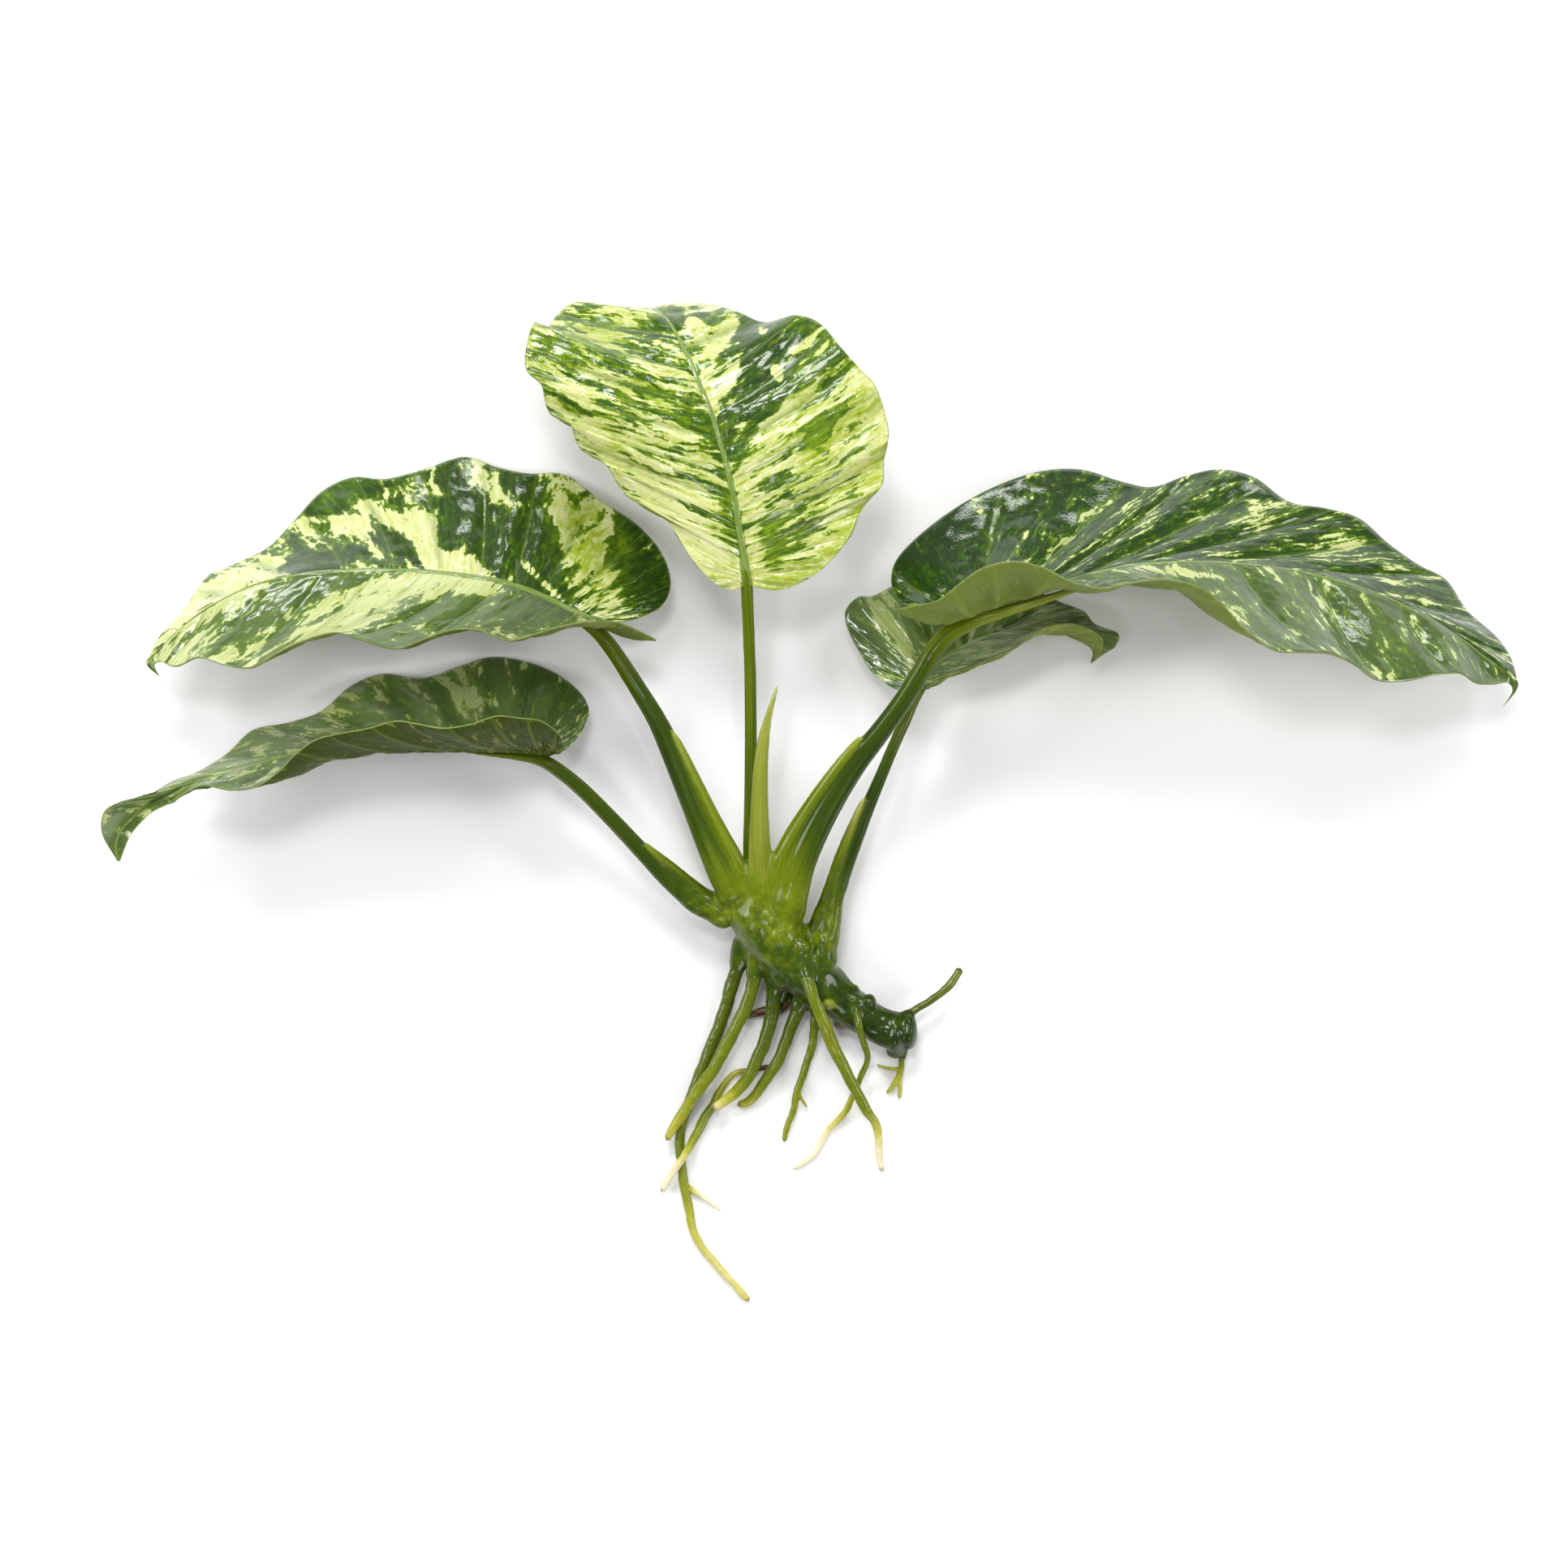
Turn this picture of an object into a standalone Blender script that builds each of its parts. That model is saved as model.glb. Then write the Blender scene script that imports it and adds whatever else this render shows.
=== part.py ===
"""A bare-root anubias with five variegated leaves, lying on a table as it was lifted from the water.

The script works in metres with +Z up, and the table is the plane z = 0. The plant lies on its back:
its leaves fan out to +Y, its roots trail to -Y, and the upper faces of the leaves look up.
Every size and place below is in millimetres from the middle of the plant's footprint.
"""

from collections import namedtuple

import bmesh
import bpy
from mathutils import Vector

MM = 0.001
MIDDLE_SHIFT = Vector((0.18, 0.05, 0.06))  # brings the footprint's middle to the origin

BLADE_THICK = 0.8
MIDRIB_THICK = 1.4
MIDRIB_SHARE = 0.12  # of a half blade's width, over which the midrib thins to the blade
BLADE_ROWS = 34
BLADE_COLUMNS = 6
VEIN_BOW = 0.10  # how far a side vein bends back before it sweeps forward, of its length

GAP = 0.3  # kept between pieces that the real plant has grown together
RHIZOME_SIDES = 12
STALK_SIDES = 8
ROOT_SIDES = 6
KNOB_SIDES = 10

# One leaf blade. The margins are named as seen from above with the tip ahead. All three lines start
# at the petiole and end at the tip. sweep says how far forward the side veins lean, and the sags
# say how far each half hangs below a straight line from midrib to margin, as a share of its width.
Blade = namedtuple("Blade", "midrib left right sweep left_sag right_sag")

# A petiole, root or sheath: a centre line of (x, y, z) with the radius at each point.
Stem = namedtuple("Stem", "line radii")

LEAF_GREEN = (0.055, 0.145, 0.025)
STEM_GREEN = (0.150, 0.270, 0.020)
CREAM = (0.720, 0.760, 0.300)
ROOT_GREEN = (0.260, 0.330, 0.050)

BLADES = {
    "leaf_top": Blade(
        midrib=[
            (-10.2, 35.0, 20.5), (-10.9, 40.0, 21.6), (-12.0, 47.0, 23.0), (-13.5, 54.0, 24.0),
            (-15.5, 61.0, 24.4), (-17.8, 67.0, 23.6), (-20.4, 73.0, 21.0), (-23.4, 78.0, 16.0),
            (-26.0, 79.6, 9.5), (-27.5, 77.8, 4.2), (-27.6, 74.5, 1.4),
        ],
        left=[
            (-10.3, 34.9, 20.5), (-12.4, 34.1, 21.0), (-15.5, 35.3, 22.5), (-19.0, 39.0, 24.0),
            (-22.5, 44.5, 24.5), (-26.0, 47.2, 26.8), (-30.0, 49.8, 25.0), (-33.0, 54.3, 27.6),
            (-37.0, 57.0, 25.0), (-38.5, 60.5, 27.6), (-41.9, 62.7, 25.0), (-43.0, 66.8, 27.0),
            (-45.5, 69.6, 25.0), (-45.2, 73.5, 25.5), (-44.1, 76.8, 23.5), (-42.4, 76.2, 18.0),
            (-40.4, 78.6, 14.0), (-37.8, 80.5, 12.0), (-34.4, 79.5, 8.6), (-31.0, 79.6, 5.6),
            (-29.0, 77.6, 3.0), (-27.6, 74.5, 1.4),
        ],
        right=[
            (-10.1, 34.9, 20.5), (-8.2, 34.4, 21.0), (-5.2, 34.1, 22.0), (-1.0, 35.5, 23.5),
            (3.0, 38.5, 25.0), (6.0, 42.3, 26.0), (8.2, 47.0, 25.0), (11.2, 50.6, 27.5),
            (11.6, 54.5, 25.2), (12.3, 58.0, 27.5), (11.9, 62.0, 25.0), (10.2, 66.7, 26.6),
            (7.8, 69.4, 23.4), (4.8, 72.8, 23.4), (1.4, 76.8, 19.4), (-2.6, 78.1, 18.4),
            (-7.5, 77.2, 14.0), (-12.0, 79.0, 12.4), (-17.0, 80.6, 9.0), (-21.5, 80.0, 6.0),
            (-25.2, 78.0, 3.2), (-27.6, 74.5, 1.4),
        ],
        sweep=1.7,
        left_sag=-0.05,
        right_sag=-0.05,
    ),
    "leaf_left_upper": Blade(
        midrib=[
            (-34.0, 29.3, 14.0), (-38.5, 31.2, 14.6), (-43.5, 33.6, 15.0), (-49.0, 35.5, 15.3),
            (-55.0, 36.5, 15.6), (-61.0, 37.2, 15.8), (-67.0, 37.5, 16.0), (-73.0, 37.5, 16.0),
            (-79.0, 37.2, 16.0), (-85.0, 36.3, 15.8), (-91.0, 34.4, 15.6), (-96.5, 31.5, 15.4),
            (-101.0, 28.1, 15.2), (-104.6, 24.6, 15.0), (-105.9, 22.9, 14.6), (-104.3, 20.2, 13.0),
        ],
        left=[
            (-34.0, 29.3, 14.0), (-30.0, 28.2, 14.6), (-26.4, 26.7, 16.5), (-24.7, 26.2, 19.5),
            (-27.2, 27.5, 23.5), (-31.0, 29.0, 27.0), (-35.5, 29.0, 30.0), (-40.0, 28.2, 32.0),
            (-44.0, 27.0, 33.3), (-48.0, 26.0, 34.4), (-52.5, 27.6, 35.6), (-57.0, 27.7, 36.2),
            (-61.5, 26.2, 35.6), (-66.0, 24.7, 35.0), (-71.0, 26.0, 36.0), (-75.5, 27.2, 36.0),
            (-80.5, 26.0, 33.0), (-85.0, 24.0, 29.5), (-89.0, 21.8, 26.0), (-93.5, 22.2, 23.5),
            (-97.8, 23.4, 21.5), (-101.5, 22.0, 18.5), (-104.2, 22.8, 16.2), (-105.2, 22.0, 14.8),
            (-104.3, 20.2, 13.0),
        ],
        right=[
            (-34.0, 29.3, 14.0), (-30.5, 29.2, 12.6), (-26.6, 30.2, 10.6), (-23.6, 32.2, 8.6),
            (-22.5, 35.6, 6.6), (-24.0, 40.4, 4.8), (-28.0, 45.0, 3.2), (-34.0, 49.0, 2.0),
            (-39.6, 53.0, 1.0), (-45.5, 53.2, 2.2), (-50.5, 54.2, 1.2), (-56.0, 55.9, 0.5),
            (-62.0, 54.0, 1.6), (-68.5, 52.3, 2.4), (-74.0, 52.6, 0.6), (-79.0, 50.2, 1.6),
            (-83.2, 45.6, 3.4), (-87.5, 41.2, 4.0), (-93.0, 38.5, 4.0), (-97.2, 36.5, 5.4),
            (-100.5, 31.5, 9.0), (-104.2, 27.2, 12.4), (-106.0, 23.8, 14.4), (-106.4, 22.2, 14.4),
            (-104.3, 20.2, 13.0),
        ],
        sweep=2.1,
        left_sag=0.12,
        right_sag=0.04,
    ),
    "leaf_left_lower": Blade(
        midrib=[
            (-41.0, 8.8, 14.4), (-47.0, 9.2, 14.8), (-53.0, 9.3, 15.4), (-59.0, 9.2, 15.6),
            (-65.0, 9.2, 15.6), (-71.0, 9.2, 15.4), (-77.0, 8.9, 15.0), (-83.0, 8.0, 14.8),
            (-88.5, 6.6, 14.6), (-93.5, 5.2, 14.6), (-98.5, 3.4, 14.8), (-103.0, 1.2, 15.0),
            (-107.0, -1.0, 15.0), (-110.0, -3.6, 14.8), (-111.4, -6.6, 14.4), (-110.9, -9.7, 13.6),
        ],
        left=[
            (-41.0, 8.8, 14.4), (-39.8, 8.4, 17.0), (-39.5, 9.4, 21.5), (-40.2, 11.2, 27.0),
            (-42.8, 13.2, 31.0), (-46.2, 13.7, 33.4), (-50.0, 14.0, 34.8), (-54.0, 12.7, 35.4),
            (-58.4, 12.1, 36.0), (-62.6, 12.8, 36.0), (-66.0, 13.2, 35.4), (-70.5, 12.0, 34.8),
            (-75.0, 11.2, 34.0), (-78.8, 10.2, 32.4), (-82.0, 7.9, 30.6), (-85.0, 5.0, 28.6),
            (-88.5, 2.8, 26.4), (-92.5, 2.3, 24.6), (-97.0, 3.0, 22.0), (-99.6, 2.0, 20.0),
            (-102.6, 0.2, 18.2), (-106.0, -1.8, 16.6), (-108.9, -5.0, 15.4), (-110.9, -9.7, 13.6),
        ],
        right=[
            (-41.0, 8.8, 14.4), (-39.4, 8.6, 12.4), (-37.6, 10.4, 9.4), (-36.2, 12.8, 6.8),
            (-35.7, 15.2, 5.0), (-37.2, 18.0, 3.6), (-41.0, 21.0, 2.2), (-46.0, 22.9, 1.2),
            (-51.5, 23.6, 0.6), (-56.8, 22.1, 1.8), (-62.5, 20.2, 2.6), (-69.0, 20.9, 1.2),
            (-74.2, 18.9, 2.2), (-79.0, 14.8, 3.6), (-84.5, 13.0, 3.2), (-90.0, 11.8, 3.4),
            (-94.0, 8.0, 6.4), (-98.4, 5.2, 9.6), (-102.5, 3.6, 12.6), (-106.5, 1.2, 16.0),
            (-110.5, 0.3, 18.6), (-112.9, -1.6, 19.4), (-113.2, -5.0, 17.6), (-110.9, -9.7, 13.6),
        ],
        sweep=2.0,
        left_sag=0.10,
        right_sag=0.06,
    ),
    "leaf_right_upper": Blade(
        midrib=[
            (20.2, 29.2, 23.0), (26.0, 31.2, 23.4), (31.0, 32.9, 23.6), (36.0, 34.4, 23.4),
            (41.0, 35.8, 23.0), (46.0, 37.2, 22.4), (52.0, 38.3, 21.6), (59.0, 38.8, 20.8),
            (66.0, 38.7, 20.0), (73.0, 38.1, 19.2), (80.0, 36.9, 18.4), (86.5, 35.1, 17.8),
            (92.5, 33.0, 17.2), (98.5, 30.1, 16.6), (104.0, 26.6, 16.0), (109.0, 22.8, 15.2),
            (112.4, 20.2, 14.2), (113.2, 18.2, 12.8), (110.8, 15.1, 11.6),
        ],
        left=[
            (20.2, 29.2, 23.0), (18.9, 30.6, 21.4), (17.2, 31.8, 20.0), (14.6, 32.2, 18.4),
            (12.9, 35.0, 16.4), (13.8, 39.2, 14.0), (18.5, 44.0, 11.0), (25.0, 48.6, 8.0),
            (32.0, 52.0, 5.0), (38.0, 53.7, 2.6), (44.0, 53.8, 1.4), (49.8, 52.0, 2.4),
            (55.0, 51.0, 3.2), (60.4, 52.8, 1.6), (66.0, 53.9, 0.6), (71.6, 52.6, 1.0),
            (77.0, 48.7, 2.8), (83.0, 47.6, 2.2), (88.5, 46.0, 1.0), (93.2, 41.9, 2.2),
            (98.0, 38.5, 2.6), (102.5, 36.0, 2.6), (105.8, 31.0, 5.0), (110.2, 27.0, 7.4),
            (112.4, 23.5, 10.4), (113.2, 20.2, 13.0), (113.7, 18.4, 12.6), (110.8, 15.1, 11.6),
        ],
        right=[
            (20.2, 29.2, 23.0), (18.4, 29.2, 25.0), (16.0, 30.3, 27.5), (13.1, 30.8, 30.0),
            (16.0, 31.4, 34.0), (20.0, 32.3, 37.6), (23.6, 35.0, 39.8), (27.2, 37.4, 41.0),
            (32.0, 38.4, 41.8), (37.0, 37.3, 42.0), (41.2, 35.2, 42.0), (46.0, 34.2, 41.8),
            (51.0, 35.1, 41.6), (56.4, 35.5, 41.2), (61.5, 34.3, 40.6), (65.4, 31.3, 39.6),
            (68.8, 27.6, 38.8), (73.4, 24.4, 37.6), (77.8, 24.1, 36.6), (82.2, 23.9, 34.4),
            (86.2, 22.3, 32.0), (90.0, 19.8, 29.6), (95.0, 19.6, 27.0), (100.0, 20.7, 25.0),
            (103.8, 20.8, 22.6), (106.6, 19.2, 20.0), (110.2, 19.3, 16.6), (111.8, 19.2, 14.0),
            (112.5, 17.9, 12.8), (110.8, 15.1, 11.6),
        ],
        sweep=2.1,
        left_sag=0.05,
        right_sag=0.16,
    ),
    "leaf_right_lower": Blade(
        midrib=[
            (17.2, 18.6, 9.0), (19.8, 22.0, 8.6), (24.0, 25.0, 8.2), (29.0, 27.2, 8.2),
            (34.0, 28.4, 8.6), (39.0, 28.5, 9.0), (43.0, 27.0, 8.8), (45.3, 24.8, 8.0),
            (45.0, 22.4, 7.0),
        ],
        left=[
            (17.2, 18.6, 9.0), (14.0, 18.2, 8.6), (10.5, 20.6, 8.0), (8.0, 24.0, 7.2),
            (6.0, 28.0, 6.2), (5.6, 31.0, 5.6), (7.6, 33.2, 5.6), (10.0, 33.4, 4.0),
            (13.2, 35.0, 2.6), (18.0, 37.0, 1.6), (24.0, 38.0, 0.8), (30.0, 36.8, 1.2),
            (36.0, 34.5, 1.8), (40.2, 32.5, 2.4), (44.0, 31.0, 3.6), (45.8, 28.9, 5.6),
            (49.4, 27.4, 7.0), (49.1, 25.3, 7.4), (47.2, 24.0, 7.4), (45.0, 22.4, 7.0),
        ],
        right=[
            (17.2, 18.6, 9.0), (18.4, 18.6, 10.6), (20.6, 19.7, 12.6), (24.0, 21.5, 15.0),
            (28.0, 23.0, 17.2), (32.0, 24.6, 18.8), (35.2, 26.8, 19.8), (38.2, 28.5, 20.0),
            (41.6, 28.9, 19.0), (44.6, 28.1, 16.6), (46.8, 26.4, 13.4), (46.6, 24.3, 10.0),
            (45.0, 22.4, 7.0),
        ],
        sweep=1.7,
        left_sag=0.03,
        right_sag=0.12,
    ),
}

# Each petiole runs on for a little way below its blade, where it becomes the blade's midrib.
PETIOLES = {
    "petiole_top": Stem(
        line=[
            (-11.4, 43.5, 19.8), (-10.6, 38.5, 18.3), (-10.2, 33.6, 17.3), (-9.9, 27.0, 16.2),
            (-9.7, 20.0, 14.8), (-9.6, 12.0, 12.8), (-9.6, 4.0, 10.4), (-9.7, -4.0, 8.0),
            (-9.8, -13.0, 6.4),
        ],
        radii=[0.5, 0.9, 1.0, 1.0, 1.0, 1.0, 1.0, 1.05, 1.2],
    ),
    "petiole_left_upper": Stem(
        line=[
            (-40.5, 29.6, 12.0), (-36.6, 28.3, 11.7), (-33.3, 26.3, 12.0), (-30.8, 23.4, 12.4),
            (-27.6, 18.4, 12.4), (-24.6, 13.2, 11.8), (-21.8, 7.6, 11.0), (-18.3, 0.0, 10.0),
            (-15.4, -7.0, 9.0), (-12.2, -15.0, 8.2),
        ],
        radii=[0.5, 1.1, 1.6, 1.6, 1.6, 1.65, 1.8, 2.05, 2.3, 2.6],
    ),
    "petiole_left_lower": Stem(
        line=[
            (-48.5, 6.4, 13.6), (-44.4, 6.4, 13.4), (-40.8, 5.6, 13.0), (-36.4, 2.0, 12.2),
            (-31.2, -3.3, 11.0), (-26.8, -8.0, 9.6), (-23.2, -11.6, 8.2), (-19.0, -15.0, 6.8),
            (-12.0, -19.4, 5.2),
        ],
        radii=[0.5, 1.1, 1.35, 1.4, 1.4, 1.45, 1.6, 1.9, 2.0],
    ),
    "petiole_right_upper": Stem(
        line=[
            (29.4, 30.6, 20.8), (24.4, 28.4, 20.9), (20.2, 25.9, 21.0), (17.8, 21.6, 20.4),
            (14.9, 16.8, 19.2), (11.2, 11.8, 17.6), (7.1, 6.9, 15.6), (3.5, 2.0, 13.8),
            (0.5, -3.2, 11.8), (-2.3, -8.8, 9.8), (-4.6, -15.0, 8.0),
        ],
        radii=[0.5, 1.2, 1.6, 1.55, 1.55, 1.65, 1.85, 2.0, 2.1, 2.3, 2.6],
    ),
    "petiole_right_lower": Stem(
        line=[
            (22.6, 24.4, 5.0), (19.8, 21.4, 5.2), (17.2, 17.6, 6.0), (15.2, 13.4, 7.1),
            (13.3, 9.4, 7.8), (11.4, 5.0, 7.8), (9.3, 0.6, 7.7), (7.2, -4.8, 7.6),
            (5.0, -10.8, 7.4), (3.3, -16.5, 7.0), (2.0, -22.5, 6.4),
        ],
        radii=[0.4, 0.7, 1.0, 1.0, 1.0, 1.0, 1.05, 1.1, 1.15, 1.35, 1.6],
    ),
    "bud_sheath": Stem(
        line=[
            (-5.5, 19.4, 18.6), (-5.9, 17.4, 18.2), (-6.8, 14.2, 17.2), (-7.6, 11.0, 16.2),
            (-8.2, 6.0, 14.9), (-8.4, 0.0, 13.4), (-8.4, -6.0, 11.7), (-8.4, -12.5, 9.6),
        ],
        radii=[0.3, 0.45, 0.7, 0.95, 1.1, 1.35, 1.6, 1.7],
    ),
}

# The pale wing of the leaf sheath along one edge of each petiole's foot.
SHEATH_WINGS = {
    "petiole_left_upper": Stem(
        line=[
            (-21.9, 11.4, 12.0), (-20.3, 8.4, 11.9), (-18.4, 4.2, 11.3), (-16.0, -0.5, 10.6),
            (-14.0, -4.2, 10.0), (-11.8, -8.0, 9.4), (-10.6, -12.0, 8.8),
        ],
        radii=[0.25, 0.6, 0.75, 0.85, 0.9, 0.9, 0.9],
    ),
    "petiole_left_lower": Stem(
        line=[
            (-26.8, -6.2, 11.2), (-25.4, -7.7, 10.4), (-22.6, -10.0, 9.2), (-19.6, -12.6, 8.0),
            (-15.8, -15.4, 6.6),
        ],
        radii=[0.25, 0.5, 0.7, 0.8, 0.9],
    ),
    "petiole_right_upper": Stem(
        line=[
            (8.2, 10.9, 17.8), (6.9, 9.3, 17.3), (4.7, 6.3, 16.2), (1.3, 1.7, 14.3),
            (-1.1, -2.0, 12.8), (-3.0, -5.4, 11.4), (-4.2, -8.6, 10.2), (-5.2, -12.0, 9.2),
        ],
        radii=[0.25, 0.55, 0.8, 0.9, 0.9, 0.9, 0.9, 0.9],
    ),
    "petiole_right_lower": Stem(
        line=[
            (8.6, 1.0, 8.4), (7.5, -1.5, 8.3), (6.0, -5.0, 8.1), (4.6, -8.8, 7.9),
            (3.6, -12.0, 7.6), (2.4, -15.6, 7.3), (1.6, -19.0, 7.0),
        ],
        radii=[0.25, 0.5, 0.6, 0.6, 0.65, 0.75, 0.8],
    ),
}

RHIZOME = Stem(
    line=[
        (-9.0, -11.5, 6.8), (-8.3, -16.0, 6.6), (-5.6, -21.5, 6.2), (-2.4, -25.8, 5.4),
        (1.0, -28.8, 4.8), (5.0, -32.0, 4.1), (8.7, -34.6, 3.9), (12.2, -36.3, 3.8),
        (16.6, -37.0, 3.7),
    ],
    radii=[5.0, 5.9, 5.9, 5.0, 4.4, 3.6, 3.4, 3.3, 3.2],
)
# Swellings on the rhizome, each a centre and its half sizes: the crown, the stub where the lower
# right petiole leaves, root bases and the collar at the cut end.
KNOBS = [
    ((-8.4, -13.8, 7.2), (7.2, 5.2, 5.2)),
    ((1.8, -24.4, 6.2), (2.7, 4.2, 3.6)),
    ((-4.2, -27.8, 5.2), (3.0, 3.0, 4.0)),
    ((5.0, -35.6, 3.2), (1.5, 1.5, 1.5)),
    ((14.2, -37.4, 3.6), (2.3, 3.2, 3.2)),
    ((3.1, -32.0, 7.2), (1.4, 1.3, 1.3)),
]

ROOTS = {
    "root_longest": Stem(
        line=[
            (-11.0, -24.0, 4.6), (-12.6, -29.0, 3.4), (-14.0, -34.0, 2.4), (-16.4, -40.0, 1.6),
            (-18.6, -46.0, 1.2), (-20.8, -52.0, 1.0), (-20.9, -58.0, 0.9), (-19.9, -64.0, 0.9),
            (-18.5, -70.0, 0.9), (-15.0, -74.5, 0.8), (-11.6, -78.4, 0.8), (-9.8, -80.3, 0.8),
        ],
        radii=[1.2, 1.15, 1.1, 1.05, 1.0, 0.85, 0.8, 0.75, 0.7, 0.65, 0.6, 0.5],
    ),
    "root_left": Stem(
        line=[
            (-8.6, -25.0, 6.4), (-9.5, -30.0, 5.6), (-11.0, -34.0, 5.0), (-13.0, -38.0, 4.4),
            (-15.2, -42.0, 4.0), (-17.8, -45.8, 3.8), (-20.0, -49.0, 3.6), (-22.0, -52.2, 3.0),
            (-23.4, -54.4, 2.4),
        ],
        radii=[1.1, 1.05, 1.05, 1.05, 1.0, 0.95, 0.85, 0.75, 0.55],
    ),
    "root_middle_left": Stem(
        line=[
            (-5.6, -28.0, 5.4), (-6.2, -33.5, 4.6), (-7.0, -37.0, 4.2), (-8.3, -40.5, 3.8),
            (-10.0, -44.0, 3.6), (-12.0, -46.5, 3.5), (-14.0, -48.0, 3.3), (-15.8, -49.2, 3.1),
        ],
        radii=[1.25, 1.2, 1.1, 1.05, 1.0, 0.9, 0.8, 0.6],
    ),
    "root_middle": Stem(
        line=[
            (-1.0, -31.0, 3.8), (-3.0, -35.5, 3.2), (-4.0, -38.5, 2.9), (-5.3, -41.5, 2.6),
            (-7.0, -44.2, 2.2), (-8.8, -46.8, 1.7), (-10.3, -48.3, 1.2), (-11.9, -48.7, 0.9),
        ],
        radii=[1.15, 1.0, 0.95, 0.95, 0.9, 0.85, 0.75, 0.55],
    ),
    "root_shaded": Stem(
        line=[
            (-2.6, -30.4, 1.6), (-4.8, -33.2, 1.2), (-8.0, -33.6, 1.0), (-11.0, -34.6, 0.9),
        ],
        radii=[0.8, 0.75, 0.7, 0.5],
    ),
    "root_pale": Stem(
        line=[
            (-5.8, -42.4, 0.55), (-9.0, -43.0, 0.7), (-12.2, -43.6, 0.75), (-14.0, -45.4, 0.8),
            (-15.8, -48.6, 1.2), (-17.6, -51.8, 1.9), (-19.2, -54.8, 2.6), (-21.0, -57.8, 2.7),
            (-22.8, -60.4, 1.8), (-24.1, -62.6, 1.1),
        ],
        radii=[0.4, 0.45, 0.5, 0.6, 0.75, 0.8, 0.7, 0.6, 0.6, 0.5],
    ),
    "root_forked": Stem(
        line=[
            (1.2, -32.0, 3.4), (0.3, -38.5, 2.6), (-0.8, -42.5, 2.0), (-2.0, -46.0, 1.5),
            (-2.8, -49.5, 1.1), (-3.8, -52.4, 0.9), (-4.3, -54.7, 0.7),
        ],
        radii=[0.8, 0.7, 0.65, 0.6, 0.55, 0.5, 0.4],
    ),
    "root_front": Stem(
        line=[
            (-1.2, -25.6, 8.6), (0.2, -30.5, 9.9), (1.6, -34.0, 9.3), (3.2, -38.0, 7.8),
            (5.0, -41.8, 6.4), (6.9, -45.5, 5.2), (9.0, -49.3, 4.0), (10.5, -51.8, 3.0),
            (11.0, -54.5, 2.2), (11.0, -57.0, 1.5), (11.4, -59.5, 0.9),
        ],
        radii=[0.95, 1.0, 1.0, 1.0, 0.95, 0.9, 0.8, 0.7, 0.65, 0.6, 0.5],
    ),
    "root_thin": Stem(
        line=[
            (7.0, -31.8, 6.0), (7.7, -35.5, 7.9), (8.6, -38.6, 6.6), (9.2, -41.0, 4.6),
            (8.3, -43.5, 3.0), (7.1, -46.6, 1.8), (5.2, -50.3, 1.0), (3.0, -52.5, 0.7),
            (1.6, -54.9, 0.6), (0.2, -57.0, 0.6), (-2.9, -59.0, 0.5),
        ],
        radii=[0.6, 0.6, 0.55, 0.5, 0.5, 0.5, 0.5, 0.5, 0.45, 0.45, 0.35],
    ),
    "root_raised": Stem(
        line=[
            (14.0, -35.2, 4.6), (17.0, -33.2, 4.4), (19.6, -31.6, 4.0), (21.5, -30.2, 3.4),
            (23.0, -28.4, 2.8), (24.2, -26.4, 2.2),
        ],
        radii=[0.6, 0.6, 0.65, 0.65, 0.65, 0.55],
    ),
    "root_end": Stem(
        line=[
            (14.8, -38.6, 2.4), (14.7, -42.2, 1.9), (14.3, -44.0, 1.3), (13.2, -45.8, 0.8),
            (12.1, -46.9, 0.5),
        ],
        radii=[0.5, 0.5, 0.55, 0.4, 0.35],
    ),
}

# Side roots, each fused to the root that it grew from.
ROOTLETS = {
    "root_longest": [
        Stem([(-20.0, -61.6, 0.9), (-18.3, -62.8, 0.8), (-16.4, -64.2, 0.6), (-14.4, -65.8, 0.4)],
             [0.4, 0.4, 0.35, 0.3]),
    ],
    "root_forked": [
        Stem([(-2.3, -46.4, 1.4), (-1.4, -47.8, 1.1), (-0.6, -49.3, 0.8)], [0.35, 0.28, 0.22]),
    ],
    "root_end": [
        Stem([(14.2, -44.2, 1.3), (14.5, -46.0, 0.9), (14.3, -47.6, 0.5)], [0.4, 0.35, 0.3]),
        Stem([(14.7, -42.9, 1.8), (12.6, -42.7, 1.4), (10.5, -42.2, 1.0)], [0.32, 0.3, 0.25]),
    ],
}


def along(points, share):
    """The point at share 0 to 1 of a smooth line through all the points (a Catmull-Rom spline)."""
    spans = len(points) - 1
    at = min(max(share, 0.0), 1.0) * spans
    span = min(int(at), spans - 1)
    t = at - span
    b, c = Vector(points[span]), Vector(points[span + 1])
    a = Vector(points[span - 1]) if span > 0 else 2 * b - c
    d = Vector(points[span + 2]) if span + 2 <= spans else 2 * c - b
    return 0.5 * (
        2 * b + (c - a) * t + (2 * a - 5 * b + 4 * c - d) * t**2 + (3 * b - a - 3 * c + d) * t**3
    )


def forward_of(points, share):
    """The direction of that line at share."""
    step = 0.01
    return (along(points, share + step) - along(points, share - step)).normalized()


def blade_point(blade, row, side):
    """A point of the leaf. row is 0 at the petiole and 1 at the tip; side is -1 at the left margin,
    0 on the midrib and 1 at the right margin. A row runs along a side vein."""
    on_midrib = row**blade.sweep
    root = along(blade.midrib, on_midrib)
    forward = forward_of(blade.midrib, on_midrib)
    margin = along(blade.right if side > 0 else blade.left, row)
    sag = blade.right_sag if side > 0 else blade.left_sag
    across = margin - root
    up = across.cross(forward) * (1 if side > 0 else -1)
    middle = (root + margin) / 2 - up * sag - forward * across.length * VEIN_BOW
    t = abs(side)
    return (1 - t) ** 2 * root + 2 * t * (1 - t) * middle + t**2 * margin


def place(point):
    return (Vector(point) + MIDDLE_SHIFT) * MM


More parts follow.
